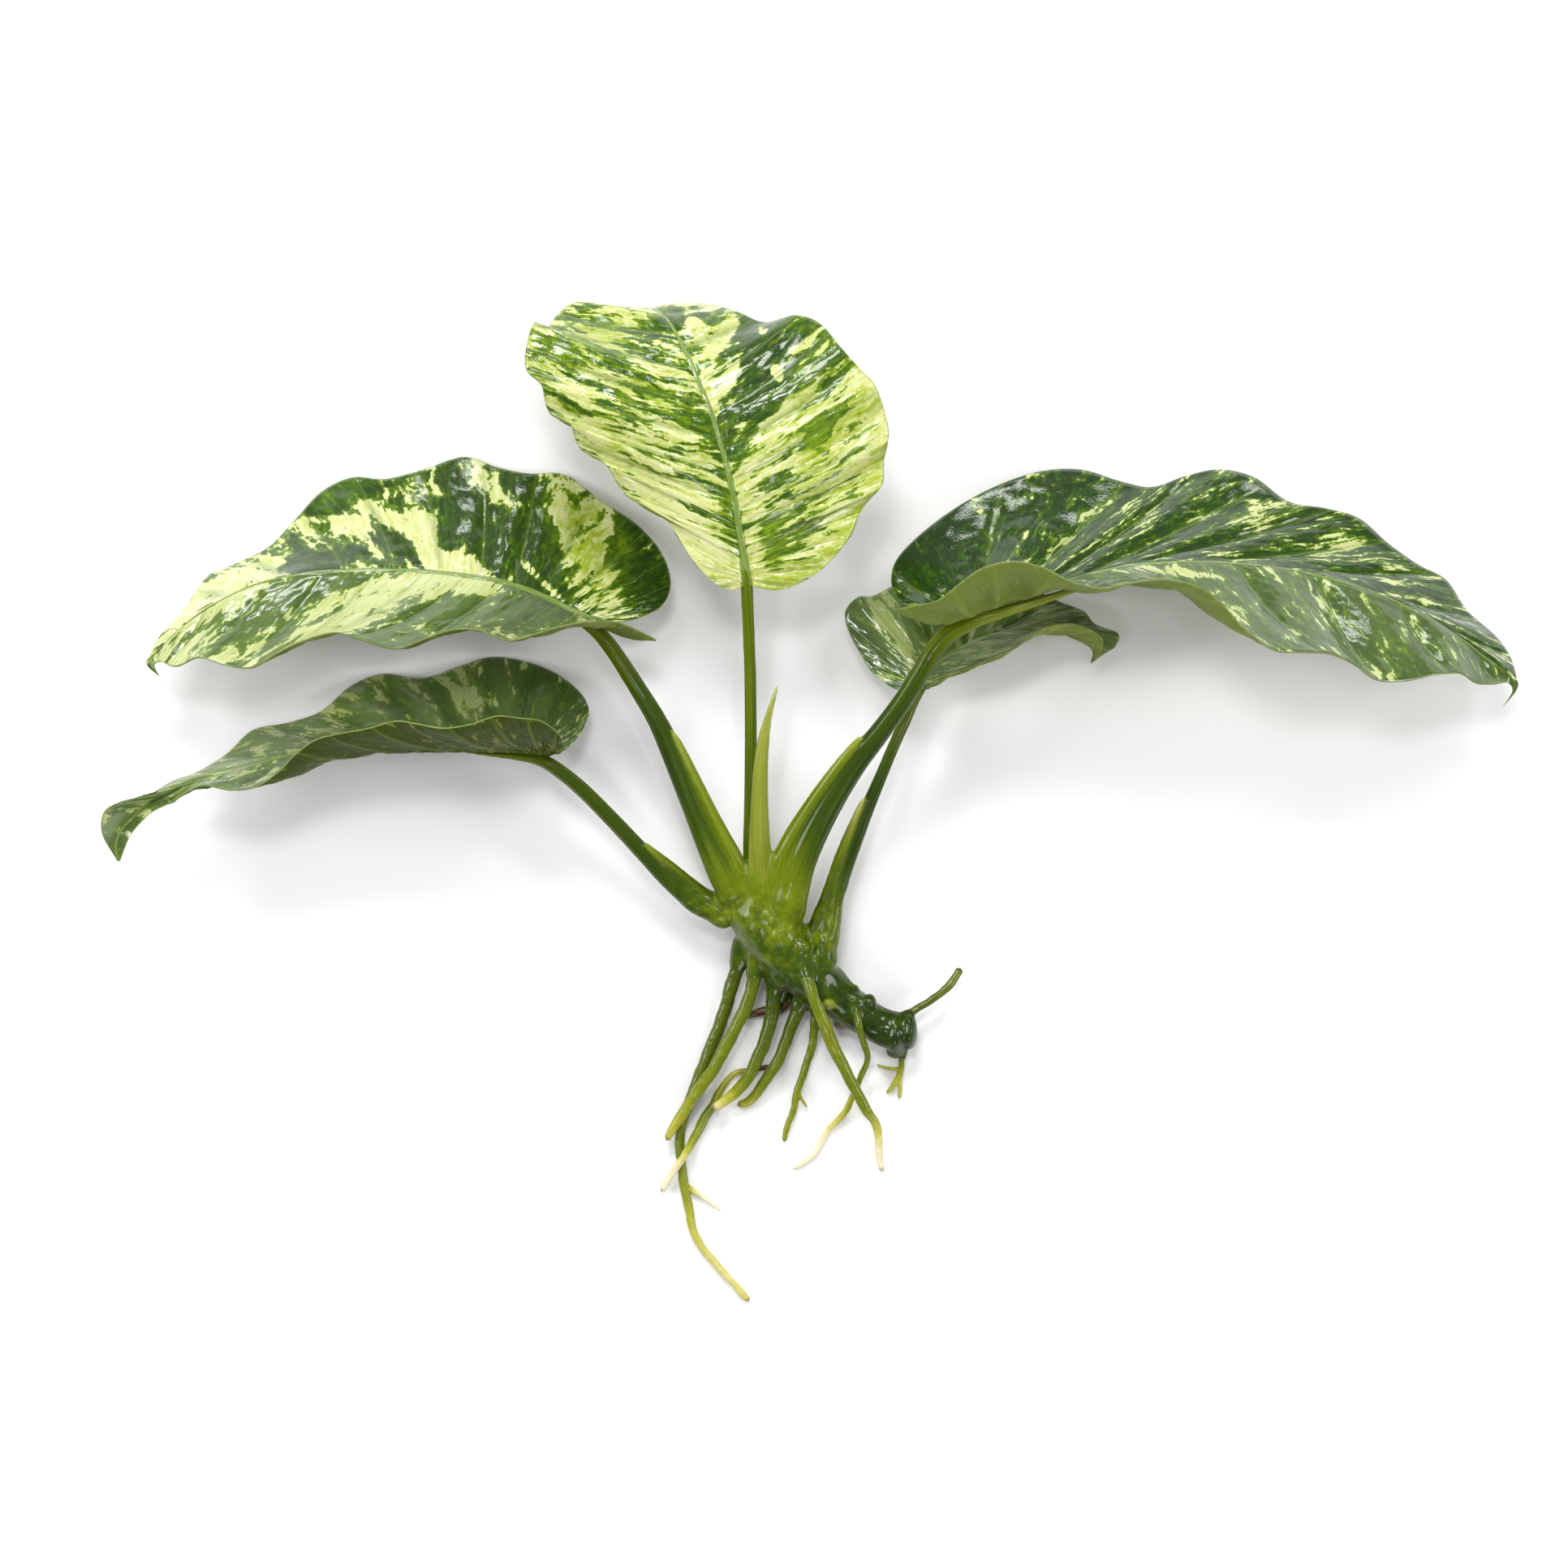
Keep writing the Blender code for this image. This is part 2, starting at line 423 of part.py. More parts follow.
def finish(name, colour, roughness):
    material = bpy.data.materials.new(name)
    material.use_nodes = True
    shader = material.node_tree.nodes["Principled BSDF"]
    shader.inputs["Base Color"].default_value = (*colour, 1.0)
    shader.inputs["Roughness"].default_value = roughness
    shader.inputs["Metallic"].default_value = 0.0
    return material


def leaf_blade(name, blade, collection, material):
    """A thin shell over a grid of side veins, thick along the midrib."""
    mesh = bpy.data.meshes.new(name)
    leaf = bpy.data.objects.new(name, mesh)
    collection.objects.link(leaf)
    shape = bmesh.new()
    bmesh.ops.create_grid(shape, x_segments=BLADE_COLUMNS, y_segments=BLADE_ROWS, size=1)
    rib = shape.verts.layers.deform.verify()
    thin = BLADE_THICK / MIDRIB_THICK
    for vertex in shape.verts:
        side, row = vertex.co.x, (vertex.co.y + 1) / 2
        near_rib = max(0.0, 1 - abs(side) / MIDRIB_SHARE) * (1 - row)
        vertex[rib][0] = thin + (1 - thin) * near_rib
        vertex.co = place(blade_point(blade, row, side))
    bmesh.ops.remove_doubles(shape, verts=shape.verts, dist=0.05 * MM)
    shape.to_mesh(mesh)
    shape.free()
    mesh.shade_smooth()
    mesh.materials.append(material)
    leaf.vertex_groups.new(name="thickness")
    shell = leaf.modifiers.new("thickness", "SOLIDIFY")
    shell.thickness = MIDRIB_THICK * MM
    shell.offset = -1
    shell.vertex_group = "thickness"
    return leaf


def round_stem(name, stem, collection, material, steps, sides, grow=0.0):
    """A tapering round stem along a smooth line, as a closed mesh with flat ends."""
    curve = bpy.data.curves.new(name, "CURVE")
    curve.dimensions = "3D"
    curve.bevel_depth = MM
    curve.bevel_resolution = (sides - 4) // 2
    curve.use_fill_caps = True
    spline = curve.splines.new("POLY")
    spline.points.add(steps)
    radii = [(radius, 0.0, 0.0) for radius in stem.radii]
    for index, point in enumerate(spline.points):
        share = index / steps
        point.co = (*place(along(stem.line, share)), 1)
        point.radius = along(radii, share).x + grow
    guide = bpy.data.objects.new(name + "_line", curve)
    collection.objects.link(guide)
    bpy.context.view_layer.update()
    seen = guide.evaluated_get(bpy.context.evaluated_depsgraph_get())
    mesh = bpy.data.meshes.new_from_object(seen)
    solid = bpy.data.objects.new(name, mesh)
    solid.matrix_world = guide.matrix_world
    collection.objects.link(solid)
    bpy.data.objects.remove(guide)
    shape = bmesh.new()
    shape.from_mesh(mesh)
    bmesh.ops.remove_doubles(shape, verts=shape.verts, dist=0.01 * MM)
    shape.to_mesh(mesh)
    shape.free()
    mesh.shade_smooth()
    mesh.materials.clear()
    mesh.materials.append(material)
    return solid


def join(solid, other, operation):
    """A Boolean of solid with other, which stays as a hidden helper."""
    other.hide_render = True
    other.display_type = "WIRE"
    change = solid.modifiers.new(operation.lower(), "BOOLEAN")
    change.operation = operation
    change.object = other


def branching_stem(name, stem, branches, collection, helpers, material, steps, sides):
    """A round stem with its branches fused to it."""
    body = round_stem(name, stem, collection, material, steps, sides)
    for number, branch in enumerate(branches):
        branch_name = f"{name}_branch_{number}"
        branch_steps = 2 * len(branch.line) - 2
        join(body, round_stem(branch_name, branch, helpers, material, branch_steps, sides), "UNION")
    return body


def rhizome_body(name, collection, helpers, material, grow=0.0):
    """The rhizome with its swellings, or the same form grown all round as a clearance."""
    steps = len(RHIZOME.line) + 5
    body = round_stem(name, RHIZOME, collection, material, steps, RHIZOME_SIDES, grow)
    for number, (centre, half_sizes) in enumerate(KNOBS):
        mesh = bpy.data.meshes.new(f"{name}_knob_{number}")
        shape = bmesh.new()
        bmesh.ops.create_uvsphere(
            shape, u_segments=KNOB_SIDES, v_segments=KNOB_SIDES // 2 + 1, radius=1
        )
        for vertex in shape.verts:
            swollen = Vector(
                (unit * (half + grow) for unit, half in zip(vertex.co, half_sizes))
            )
            vertex.co = place(Vector(centre) + swollen)
        shape.to_mesh(mesh)
        shape.free()
        mesh.materials.append(material)
        knob = bpy.data.objects.new(mesh.name, mesh)
        helpers.objects.link(knob)
        join(body, knob, "UNION")
    return body


def new_collection(name):
    collection = bpy.data.collections.new(name)
    bpy.context.scene.collection.children.link(collection)
    return collection


def main():
    for existing in list(bpy.data.objects):
        bpy.data.objects.remove(existing)
    plant = new_collection("anubias")
    helpers = new_collection("clearances")

    leaf_green = finish("leaf", LEAF_GREEN, 0.35)
    stem_green = finish("stem", STEM_GREEN, 0.35)
    cream = finish("sheath", CREAM, 0.45)
    root_green = finish("root", ROOT_GREEN, 0.45)

    for name, blade in BLADES.items():
        leaf_blade(name, blade, plant, leaf_green)

    rhizome_body("rhizome", plant, helpers, stem_green)
    clearance = rhizome_body("rhizome_clearance", helpers, helpers, stem_green, GAP)

    for name, stem in PETIOLES.items():
        look = cream if name == "bud_sheath" else stem_green
        wings = [SHEATH_WINGS[name]] if name in SHEATH_WINGS else []
        steps = len(stem.line) + 4
        stalk = branching_stem(name, stem, wings, plant, helpers, look, steps, STALK_SIDES)
        join(stalk, clearance, "DIFFERENCE")

    for name, stem in ROOTS.items():
        side_roots = ROOTLETS.get(name, [])
        steps = len(stem.line) + 4
        root = branching_stem(name, stem, side_roots, plant, helpers, root_green, steps, ROOT_SIDES)
        join(root, clearance, "DIFFERENCE")


main()
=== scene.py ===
import math
from collections import namedtuple

import bpy
import numpy as np
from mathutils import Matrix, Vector, noise


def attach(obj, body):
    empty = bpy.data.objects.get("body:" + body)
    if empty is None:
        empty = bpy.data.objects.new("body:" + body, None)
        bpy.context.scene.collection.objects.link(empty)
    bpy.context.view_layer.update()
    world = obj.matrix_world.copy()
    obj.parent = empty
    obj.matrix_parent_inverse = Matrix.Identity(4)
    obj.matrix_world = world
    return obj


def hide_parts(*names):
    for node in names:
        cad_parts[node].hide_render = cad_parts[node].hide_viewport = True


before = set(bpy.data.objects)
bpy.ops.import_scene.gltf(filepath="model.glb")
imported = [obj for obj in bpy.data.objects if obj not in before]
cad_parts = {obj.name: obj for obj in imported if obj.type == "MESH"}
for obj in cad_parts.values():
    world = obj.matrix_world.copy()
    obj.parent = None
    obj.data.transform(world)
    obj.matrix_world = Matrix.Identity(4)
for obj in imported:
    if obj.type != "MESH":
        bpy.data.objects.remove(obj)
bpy.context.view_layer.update()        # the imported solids, one for each leaf, stalk and root, all in body "root"

# The roots
# Eleven soft, round, tapering roots trail from the rhizome, some with side roots. Living tissue, green
# where it has seen light and cream towards the growing tip, whose very end is a brown cap. Each is
# swept along its own line.

MM = 0.001
MIDDLE_SHIFT = np.array((0.18, 0.05, 0.06))  # mm, brings the footprint's middle to the origin

# A stem: points along it, and the way its thin side looks. A point holds x, y and z in mm from the
# middle of the footprint, half the stem's width, half its thickness, and its tone, which is how pale
# the skin is there, or below 0 how brown.
Sweep = namedtuple("Sweep", "points face", defaults=[(0, 0, 1)])

ROOTS = {
    "root_longest": Sweep([
        (-11, -24, 4.6, 1.3, 1.2, 0.1), (-12.6, -29, 3.4, 1.15, 1.15, 0.14),
        (-14, -34, 2.4, 1.1, 1.1, 0.16), (-16.4, -40, 1.6, 1.05, 1, 0.18), (-18.6, -46, 1.2, 1, 0.95, 0.22),
        (-20.8, -52, 1, 0.85, 0.8, 0.28), (-20.9, -58, 0.9, 0.8, 0.75, 0.32),
        (-19.9, -64, 0.9, 0.75, 0.7, 0.42), (-18.5, -70, 0.9, 0.7, 0.65, 0.62),
        (-15, -74.5, 0.8, 0.65, 0.6, 0.76), (-11.6, -78.4, 0.8, 0.6, 0.55, 0.76),
        (-9.8, -80.3, 0.8, 0.5, 0.5, 0.66),
    ]),
    "root_left": Sweep([
        (-8.6, -25, 6.4, 1.3, 1.2, 0.2), (-9.5, -30, 5.6, 1.1, 1.05, 0.22), (-11, -34, 5, 1.05, 1.05, 0.24),
        (-13, -38, 4.4, 1.05, 1, 0.28), (-15.2, -42, 4, 1, 1, 0.3), (-17.8, -45.8, 3.8, 0.95, 0.9, 0.34),
        (-20, -49, 3.6, 0.85, 0.8, 0.42), (-22, -52.2, 3, 0.75, 0.7, 0.52),
        (-23.4, -54.4, 2.4, 0.55, 0.5, 0.6),
    ]),
    "root_middle_left": Sweep([
        (-5.6, -28, 5.4, 1.4, 1.3, 0.04), (-6.2, -33.5, 4.6, 1.2, 1.15, 0.08),
        (-7, -37, 4.2, 1.1, 1.1, 0.12), (-8.3, -40.5, 3.8, 1.05, 1, 0.18), (-10, -44, 3.6, 1, 0.95, 0.26),
        (-12, -46.5, 3.5, 0.9, 0.85, 0.4), (-14, -48, 3.3, 0.8, 0.75, 0.64),
        (-15.8, -49.2, 3.1, 0.6, 0.6, 0.86),
    ]),
    "root_middle": Sweep([
        (-1, -31, 3.8, 1.3, 1.2, 0.1), (-3, -35.5, 3.2, 1.05, 1, 0.14), (-4, -38.5, 2.9, 0.95, 0.95, 0.18),
        (-5.3, -41.5, 2.6, 0.95, 0.9, 0.22), (-7, -44.2, 2.2, 0.9, 0.9, 0.28),
        (-8.8, -46.8, 1.7, 0.85, 0.8, 0.36), (-10.3, -48.3, 1.2, 0.75, 0.7, 0.5),
        (-11.9, -48.7, 0.9, 0.55, 0.5, 0.62),
    ]),
    # This root lies in the shade under the others; its dark brown is partly its own colour and partly painted
    # shade.
    "root_shaded": Sweep([
        (-2.6, -30.4, 1.6, 0.8, 0.8, -0.4), (-4.8, -33.2, 1.2, 0.75, 0.75, -0.8),
        (-8, -33.6, 1, 0.7, 0.7, -0.9), (-11, -34.6, 0.9, 0.5, 0.5, -0.8),
    ]),
    "root_pale": Sweep([
        (-5.8, -42.4, 0.6, 0.4, 0.4, -0.8), (-9, -43, 0.7, 0.45, 0.45, -0.1),
        (-12.2, -43.6, 0.75, 0.5, 0.5, 0.6), (-14, -45.4, 0.8, 0.6, 0.6, 0.5),
        (-15.8, -48.6, 1.2, 0.75, 0.7, 0.3), (-17.6, -51.8, 1.9, 0.8, 0.75, 0.3),
        (-19.2, -54.8, 2.6, 0.7, 0.7, 0.42), (-21, -57.8, 2.7, 0.6, 0.6, 0.8),
        (-22.8, -60.4, 1.8, 0.6, 0.55, 0.96), (-24.1, -62.6, 1.1, 0.5, 0.45, 1),
    ]),
    "root_forked": Sweep([
        (1.2, -32, 3.4, 0.9, 0.85, 0.22), (0.3, -38.5, 2.6, 0.72, 0.7, 0.26),
        (-0.8, -42.5, 2, 0.65, 0.65, 0.28), (-2, -46, 1.5, 0.62, 0.6, 0.32),
        (-2.8, -49.5, 1.1, 0.55, 0.55, 0.34), (-3.8, -52.4, 0.9, 0.5, 0.5, 0.38),
        (-4.3, -54.7, 0.7, 0.42, 0.4, 0.42),
    ]),
    "root_front": Sweep([
        (-1.2, -25.6, 8.6, 1.1, 1, 0.24), (0.2, -30.5, 9.9, 1, 1, 0.3), (1.6, -34, 9.3, 1, 1, 0.34),
        (3.2, -38, 7.8, 1, 0.95, 0.34), (5, -41.8, 6.4, 0.95, 0.9, 0.32), (6.9, -45.5, 5.2, 0.9, 0.9, 0.3),
        (9, -49.3, 4, 0.85, 0.8, 0.34), (10.5, -51.8, 3, 0.72, 0.7, 0.56),
        (11, -54.5, 2.2, 0.65, 0.65, 0.84), (11, -57, 1.5, 0.6, 0.55, 0.94),
        (11.4, -59.5, 0.9, 0.5, 0.45, 0.96),
    ]),
    "root_thin": Sweep([
        (7, -31.8, 6, 0.7, 0.65, 0.2), (7.7, -35.5, 7.9, 0.62, 0.6, 0.22),
        (8.6, -38.6, 6.6, 0.55, 0.55, 0.24), (9.2, -41, 4.6, 0.52, 0.5, 0.3),
        (8.3, -43.5, 3, 0.5, 0.5, 0.34), (7.1, -46.6, 1.8, 0.5, 0.5, 0.4), (5.2, -50.3, 1, 0.52, 0.5, 0.56),
        (3, -52.5, 0.75, 0.5, 0.5, 0.8), (1.6, -54.9, 0.65, 0.48, 0.45, 0.92),
        (0.2, -57, 0.6, 0.45, 0.42, 0.96), (-2.9, -59, 0.5, 0.35, 0.35, 0.92),
    ]),
    "root_raised": Sweep([
        (14, -35.2, 4.6, 0.8, 0.7, 0.1), (17, -33.2, 4.4, 0.62, 0.6, 0.14),
        (19.6, -31.6, 4, 0.65, 0.62, 0.16), (21.5, -30.2, 3.4, 0.68, 0.65, 0.2),
        (23, -28.4, 2.8, 0.65, 0.62, 0.22), (24.2, -26.4, 2.2, 0.6, 0.55, 0.28),
    ]),
    "root_end": Sweep([
        (14.8, -38.6, 2.4, 0.7, 0.6, 0.24), (14.7, -42.2, 1.9, 0.5, 0.5, 0.4),
        (14.3, -44, 1.3, 0.55, 0.5, 0.52), (13.2, -45.8, 0.85, 0.42, 0.4, 0.58),
        (12.1, -46.9, 0.55, 0.35, 0.35, 0.6),
    ]),
}
# Side roots, each grown out of the root it is listed under.
ROOTLETS = {
    "root_longest": [
        Sweep([
            (-20, -61.6, 0.9, 0.45, 0.4, 0.5), (-18.3, -62.8, 0.8, 0.4, 0.38, 0.84),
            (-16.4, -64.2, 0.6, 0.36, 0.32, 0.96), (-14.4, -65.8, 0.4, 0.3, 0.28, 1),
        ]),
    ],
    "root_forked": [
        Sweep([
            (-2.3, -46.4, 1.4, 0.35, 0.35, 0.34), (-1.4, -47.8, 1.1, 0.28, 0.28, 0.44),
            (-0.6, -49.3, 0.8, 0.22, 0.22, 0.54),
        ]),
    ],
    "root_end": [
        Sweep([
            (14.2, -44.2, 1.3, 0.4, 0.4, 0.54), (14.5, -46, 0.9, 0.38, 0.35, 0.58),
            (14.3, -47.6, 0.5, 0.32, 0.3, 0.6),
        ]),
        Sweep([
            (14.7, -42.9, 1.8, 0.34, 0.32, 0.5), (12.6, -42.7, 1.4, 0.3, 0.3, 0.58),
            (10.5, -42.2, 1, 0.26, 0.25, 0.62),
        ]),
    ],
}
ROOT_SIDES = 16
ROOT_RINGS = 2.2  # a mm of a root
ROOT_VOXEL = 0.16 * MM  # melts a root and its side roots together
TIP_REACH = 0.05  # mm, the least length of a round end
FIBRE_GAP = 20  # mm that the fibres of a stem lie apart from the next stem's
TONE_FALL = 3.5  # how quickly a stem's tone gives way to the next stem's
CAP = (0.75, 1.4)  # how brown a root's cap is, and its length by the root's half width
FOOT = (0.3, 5)  # how much darker a root's foot is, and its length in mm
ROOT_SWELL = 0.09  # mm that a root swells and thins
ROOT_LUMPS = 0.03  # mm
ROOT_SWAY = 0.2  # mm


def on_line(points, share):
    """Points of a smooth line through all the points, at shares from 0 to 1 of its spans."""
    points = np.asarray(points, float)
    spans = len(points) - 1
    at = np.clip(share, 0, 1) * spans
    span = np.minimum(at.astype(int), spans - 1)
    t = (at - span)[..., None]
    held = np.vstack([2 * points[0] - points[1], points, 2 * points[-1] - points[-2]])
    a, b, c, d = (held[span + further] for further in range(4))
    return 0.5 * (
        2 * b + (c - a) * t + (2 * a - 5 * b + 4 * c - d) * t**2 + (3 * b - a - 3 * c + d) * t**3
    )


def unit(vectors):
    """The vectors' directions."""
    return vectors / np.maximum(np.linalg.norm(vectors, axis=-1, keepdims=True), 1e-12)


def rings_of(sweep, rings_per_mm=1.5):
    """Evenly spaced rings along a sweep: their centres, the ways ahead, aside and to the thin side,
    their half widths and half thicknesses, how far along they are in mm, and their tones."""
    fine = np.linspace(0, 1, 400)
    steps = np.linalg.norm(np.diff(on_line(sweep.points, fine)[:, :3], axis=0), axis=1)
    run = np.concatenate([[0], np.cumsum(steps)])
    even = np.linspace(0, run[-1], max(10, int(run[-1] * rings_per_mm)))
    points = on_line(sweep.points, np.interp(even, run, fine))
    centre = points[:, :3]
    ahead = unit(np.gradient(centre, axis=0))
    face = np.asarray(sweep.face, float)
    face = unit(face - ahead * (ahead @ face)[:, None])
    return centre, ahead, np.cross(ahead, face), face, points[:, 3], points[:, 4], even, points[:, 5]


def read(items, name, width=3, kind=float):
    """The values of that name of all the items, one row for each item."""
    values = np.empty(width * len(items), kind)
    items.foreach_get(name, values)
    return values.reshape(-1, width)


def places_of(piece):
    """The piece's vertices in mm from the middle of the footprint."""
    return read(piece.data.vertices, "co") / MM - MIDDLE_SHIFT


def move_to(piece, places):
    """Moves the piece's vertices to places in mm from the middle of the footprint."""
    piece.data.vertices.foreach_set("co", ((places + MIDDLE_SHIFT) * MM).ravel())
    piece.data.update()


def normals_of(piece):
    """The direction that the piece's skin faces at each of its vertices."""
    return read(piece.data.vertex_normals, "vector")


def put(piece, name, values):
    """Keeps a vector for each vertex of the piece, for its material to read."""
    layer = piece.data.attributes.new(name, "FLOAT_VECTOR", "POINT")
    layer.data.foreach_set("vector", np.ascontiguousarray(values, float).ravel())


def cloud(points):
    """Smooth noise at each of the points."""
    flat = points.reshape(-1, 3)
    values = np.fromiter((noise.noise(Vector(point)) for point in flat), float, len(flat))
    return values.reshape(points.shape[:-1])


def pick(*pieces):
    """Selects only these pieces and makes the first the active one."""
    bpy.ops.object.select_all(action="DESELECT")
    for piece in pieces:
        piece.select_set(True)
    bpy.context.view_layer.objects.active = pieces[0]


def sheet_at(name, places):
    """A grid piece whose vertices lie at places (rows by columns by x, y, z in mm), and the row and
    the column of each vertex."""
    rows, columns = places.shape[:2]
    bpy.ops.mesh.primitive_grid_add(x_subdivisions=columns - 1, y_subdivisions=rows - 1, size=2)
    piece = bpy.context.object
    piece.name = name
    flat = read(piece.data.vertices, "co")
    column = np.rint((flat[:, 0] + 1) / 2 * (columns - 1)).astype(int)
    row = np.rint((flat[:, 1] + 1) / 2 * (rows - 1)).astype(int)
    move_to(piece, places[row, column])
    return piece, row, column


def merge(distance, outwards):
    """Merges vertices of the active piece, and may turn its faces outwards."""
    bpy.ops.object.mode_set(mode="EDIT")
    bpy.ops.mesh.select_all(action="SELECT")
    bpy.ops.mesh.remove_doubles(threshold=distance)
    if outwards:
        bpy.ops.mesh.normals_make_consistent(inside=False)
    bpy.ops.object.mode_set(mode="OBJECT")


def stem_at(name, sweep, sides, rings_per_mm=1.5):
    """A closed stem of oval rings along the sweep, with round ends."""
    centre, _, aside, face, wide, thin, run, _ = rings_of(sweep, rings_per_mm)
    from_end = np.clip(np.minimum(run, run[-1] - run) / np.maximum(thin, TIP_REACH), 0, 1)
    ends = np.sqrt(np.clip(1 - (1 - from_end) ** 2, 0, 1))
    angle = np.linspace(0, 2 * math.pi, sides + 1)
    angle[-1] = 0
    places = (
        centre[:, None]
        + aside[:, None] * (np.cos(angle) * (wide * ends)[:, None])[..., None]
        + face[:, None] * (np.sin(angle) * (thin * ends)[:, None])[..., None]
    )
    part, _, _ = sheet_at(name, places)
    merge(0.01 * MM, True)
    return part


def joined(parts):
    """One piece from all the parts."""
    pick(*parts)
    bpy.ops.object.join()
    return parts[0]


def finish(piece, kind, **settings):
    """Adds a modifier to the piece, sets it and applies it."""
    pick(piece)
    bpy.ops.object.modifier_add(type=kind)
    modifier = piece.modifiers[-1]
    for setting, value in settings.items():
        setattr(modifier, setting, value)
    bpy.ops.object.modifier_apply(modifier=modifier.name)


def belonging(skin, sweeps):
    """For each point of a skin the number of the sweep that it lies closest to, its place across,
    around and along it, and its tone, which runs over smoothly from one sweep to the next."""
    near = np.full(len(skin), np.inf)
    owner = np.zeros(len(skin), int)
    fibre = np.zeros((len(skin), 3))
    tone_of = np.zeros(len(skin))
    weight = np.zeros(len(skin))
    for number, sweep in enumerate(sweeps):
        centre, ahead, aside, face, wide, thin, run, tone = rings_of(sweep)
        for some in np.array_split(np.arange(len(skin)), 20):  # in 20 goes, to save memory
            away = skin[some, None] - centre[None]
            ring = np.argmin((away**2).sum(2) / (wide * thin), axis=1)
            off = skin[some] - centre[ring]
            x, y, z = ((off * way[ring]).sum(1) for way in (aside, face, ahead))
            reach = np.sqrt((x / wide[ring]) ** 2 + (y / thin[ring]) ** 2 + (z / wide[ring]) ** 2)
            share = np.exp(-TONE_FALL * np.minimum(reach, 60))  # never quite 0
            tone_of[some] += share * tone[ring]
            weight[some] += share
            closer = reach < near[some]
            chosen = some[closer]
            near[chosen] = reach[closer]
            owner[chosen] = number
            fibre[chosen] = np.stack([x, y + FIBRE_GAP * number, run[ring] + z], 1)[closer]
    return owner, fibre, tone_of / weight


def material_of(name, roughness, coat, coat_roughness, specular):
    """A new material, its node tree and its main shader. The functions below make their nodes in
    the tree that was made last, which is always called tree."""
    material = bpy.data.materials.new(name)
    material.use_nodes = True
    shader = material.node_tree.nodes["Principled BSDF"]
    shader.inputs["Roughness"].default_value = roughness
    shader.inputs["Coat Weight"].default_value = coat
    shader.inputs["Coat Roughness"].default_value = coat_roughness
    shader.inputs["Specular IOR Level"].default_value = specular
    return material, material.node_tree, shader


def add(kind, sockets=None, **settings):
    """A shader node with its settings made and its sockets set or linked, by name or number."""
    made = tree.nodes.new(kind)
    for setting, value in settings.items():
        setattr(made, setting, value)
    for socket, value in (sockets or {}).items():
        if isinstance(value, bpy.types.NodeSocket):
            tree.links.new(value, made.inputs[socket])
        else:
            made.inputs[socket].default_value = value
    return made


def calc(operation, *values):
    """The result of a Math node."""
    return add("ShaderNodeMath", dict(enumerate(values)), operation=operation).outputs[0]


def times(first, second):
    return calc("MULTIPLY", first, second)


def total(*values):
    """The sum of the values."""
    result = values[0]
    for value in values[1:]:
        result = calc("ADD", result, value)
    return result


def spread(value, amount):
    """The value's swing to both sides of 0.5, times amount."""
    return times(calc("SUBTRACT", value, 0.5), amount)


def step(value, low, high):
    """0 at low, 1 at high, and a smooth rise between."""
    sockets = {"Value": value, "From Min": low, "From Max": high}
    made = add("ShaderNodeMapRange", sockets, interpolation_type="SMOOTHSTEP")
    return made.outputs["Result"]


def blend(share, under, over):
    """A colour that goes from under to over with share."""
    return add("ShaderNodeMix", {0: share, 6: under, 7: over}, data_type="RGBA").outputs[2]


def ramp(value, stops):
    """A colour that goes through the stops, each a position from 0 to 1 and a colour."""
    made = add("ShaderNodeValToRGB", {0: value})
    elements = made.color_ramp.elements
    elements[0].position, elements[1].position = stops[0][0], stops[-1][0]
    elements[0].color, elements[1].color = stops[0][1], stops[-1][1]
    for position, colour in stops[1:-1]:
        elements.new(position).color = colour
    return made.outputs["Color"]


def rgb(red, green, blue):
    """The shader's linear colour for a colour in screen values from 0 to 255."""
    screen = np.array((red, green, blue)) / 255
    return (*np.where(screen > 0.04, ((screen + 0.055) / 1.055) ** 2.4, screen / 12.92), 1)


def stretched(vector, scale, offset=(0, 0, 0)):
    """The vector scaled on each axis and moved."""
    scaled = add("ShaderNodeVectorMath", {0: vector, 1: scale}, operation="MULTIPLY").outputs[0]
    return add("ShaderNodeVectorMath", {0: scaled, 1: offset}, operation="ADD").outputs[0]


def grain(vector, scale, detail, roughness, offset=(0, 0, 0)):
    """The value of a noise texture, whose grain gets finer with scale: one number or three."""
    if isinstance(scale, tuple):
        vector, scale = stretched(vector, scale, offset), 1
    sockets = {"Vector": vector, "Scale": scale, "Detail": detail, "Roughness": roughness}
    return add("ShaderNodeTexNoise", sockets).outputs["Fac"]


def kept(name):
    """The vector that a piece keeps under that name, and its three parts."""
    vector = add("ShaderNodeAttribute", attribute_name=name).outputs["Vector"]
    return vector, add("ShaderNodeSeparateXYZ", {0: vector}).outputs


def in_mm():
    """A place on the piece in millimetres."""
    return stretched(add("ShaderNodeTexCoord").outputs["Object"], (1000, 1000, 1000))


def relief(height, strength, distance):
    """The normals of a fine relief that follows height, distance in metres."""
    sockets = {"Height": height, "Strength": strength, "Distance": distance}
    return add("ShaderNodeBump", sockets).outputs["Normal"]


def paint(shader, colour, normal, coat_normal):
    """Links the colour and the normals to the main shader."""
    tree.links.new(colour, shader.inputs["Base Color"])
    tree.links.new(normal, shader.inputs["Normal"])
    tree.links.new(coat_normal, shader.inputs["Coat Normal"])


ROOT_DARK = rgb(38, 58, 0)
ROOT_GREEN = rgb(98, 112, 2)
ROOT_YELLOW = rgb(152, 152, 28)
ROOT_PALE = rgb(196, 188, 100)
ROOT_CREAM = rgb(228, 218, 186)
ROOT_BROWN = rgb(82, 50, 20)

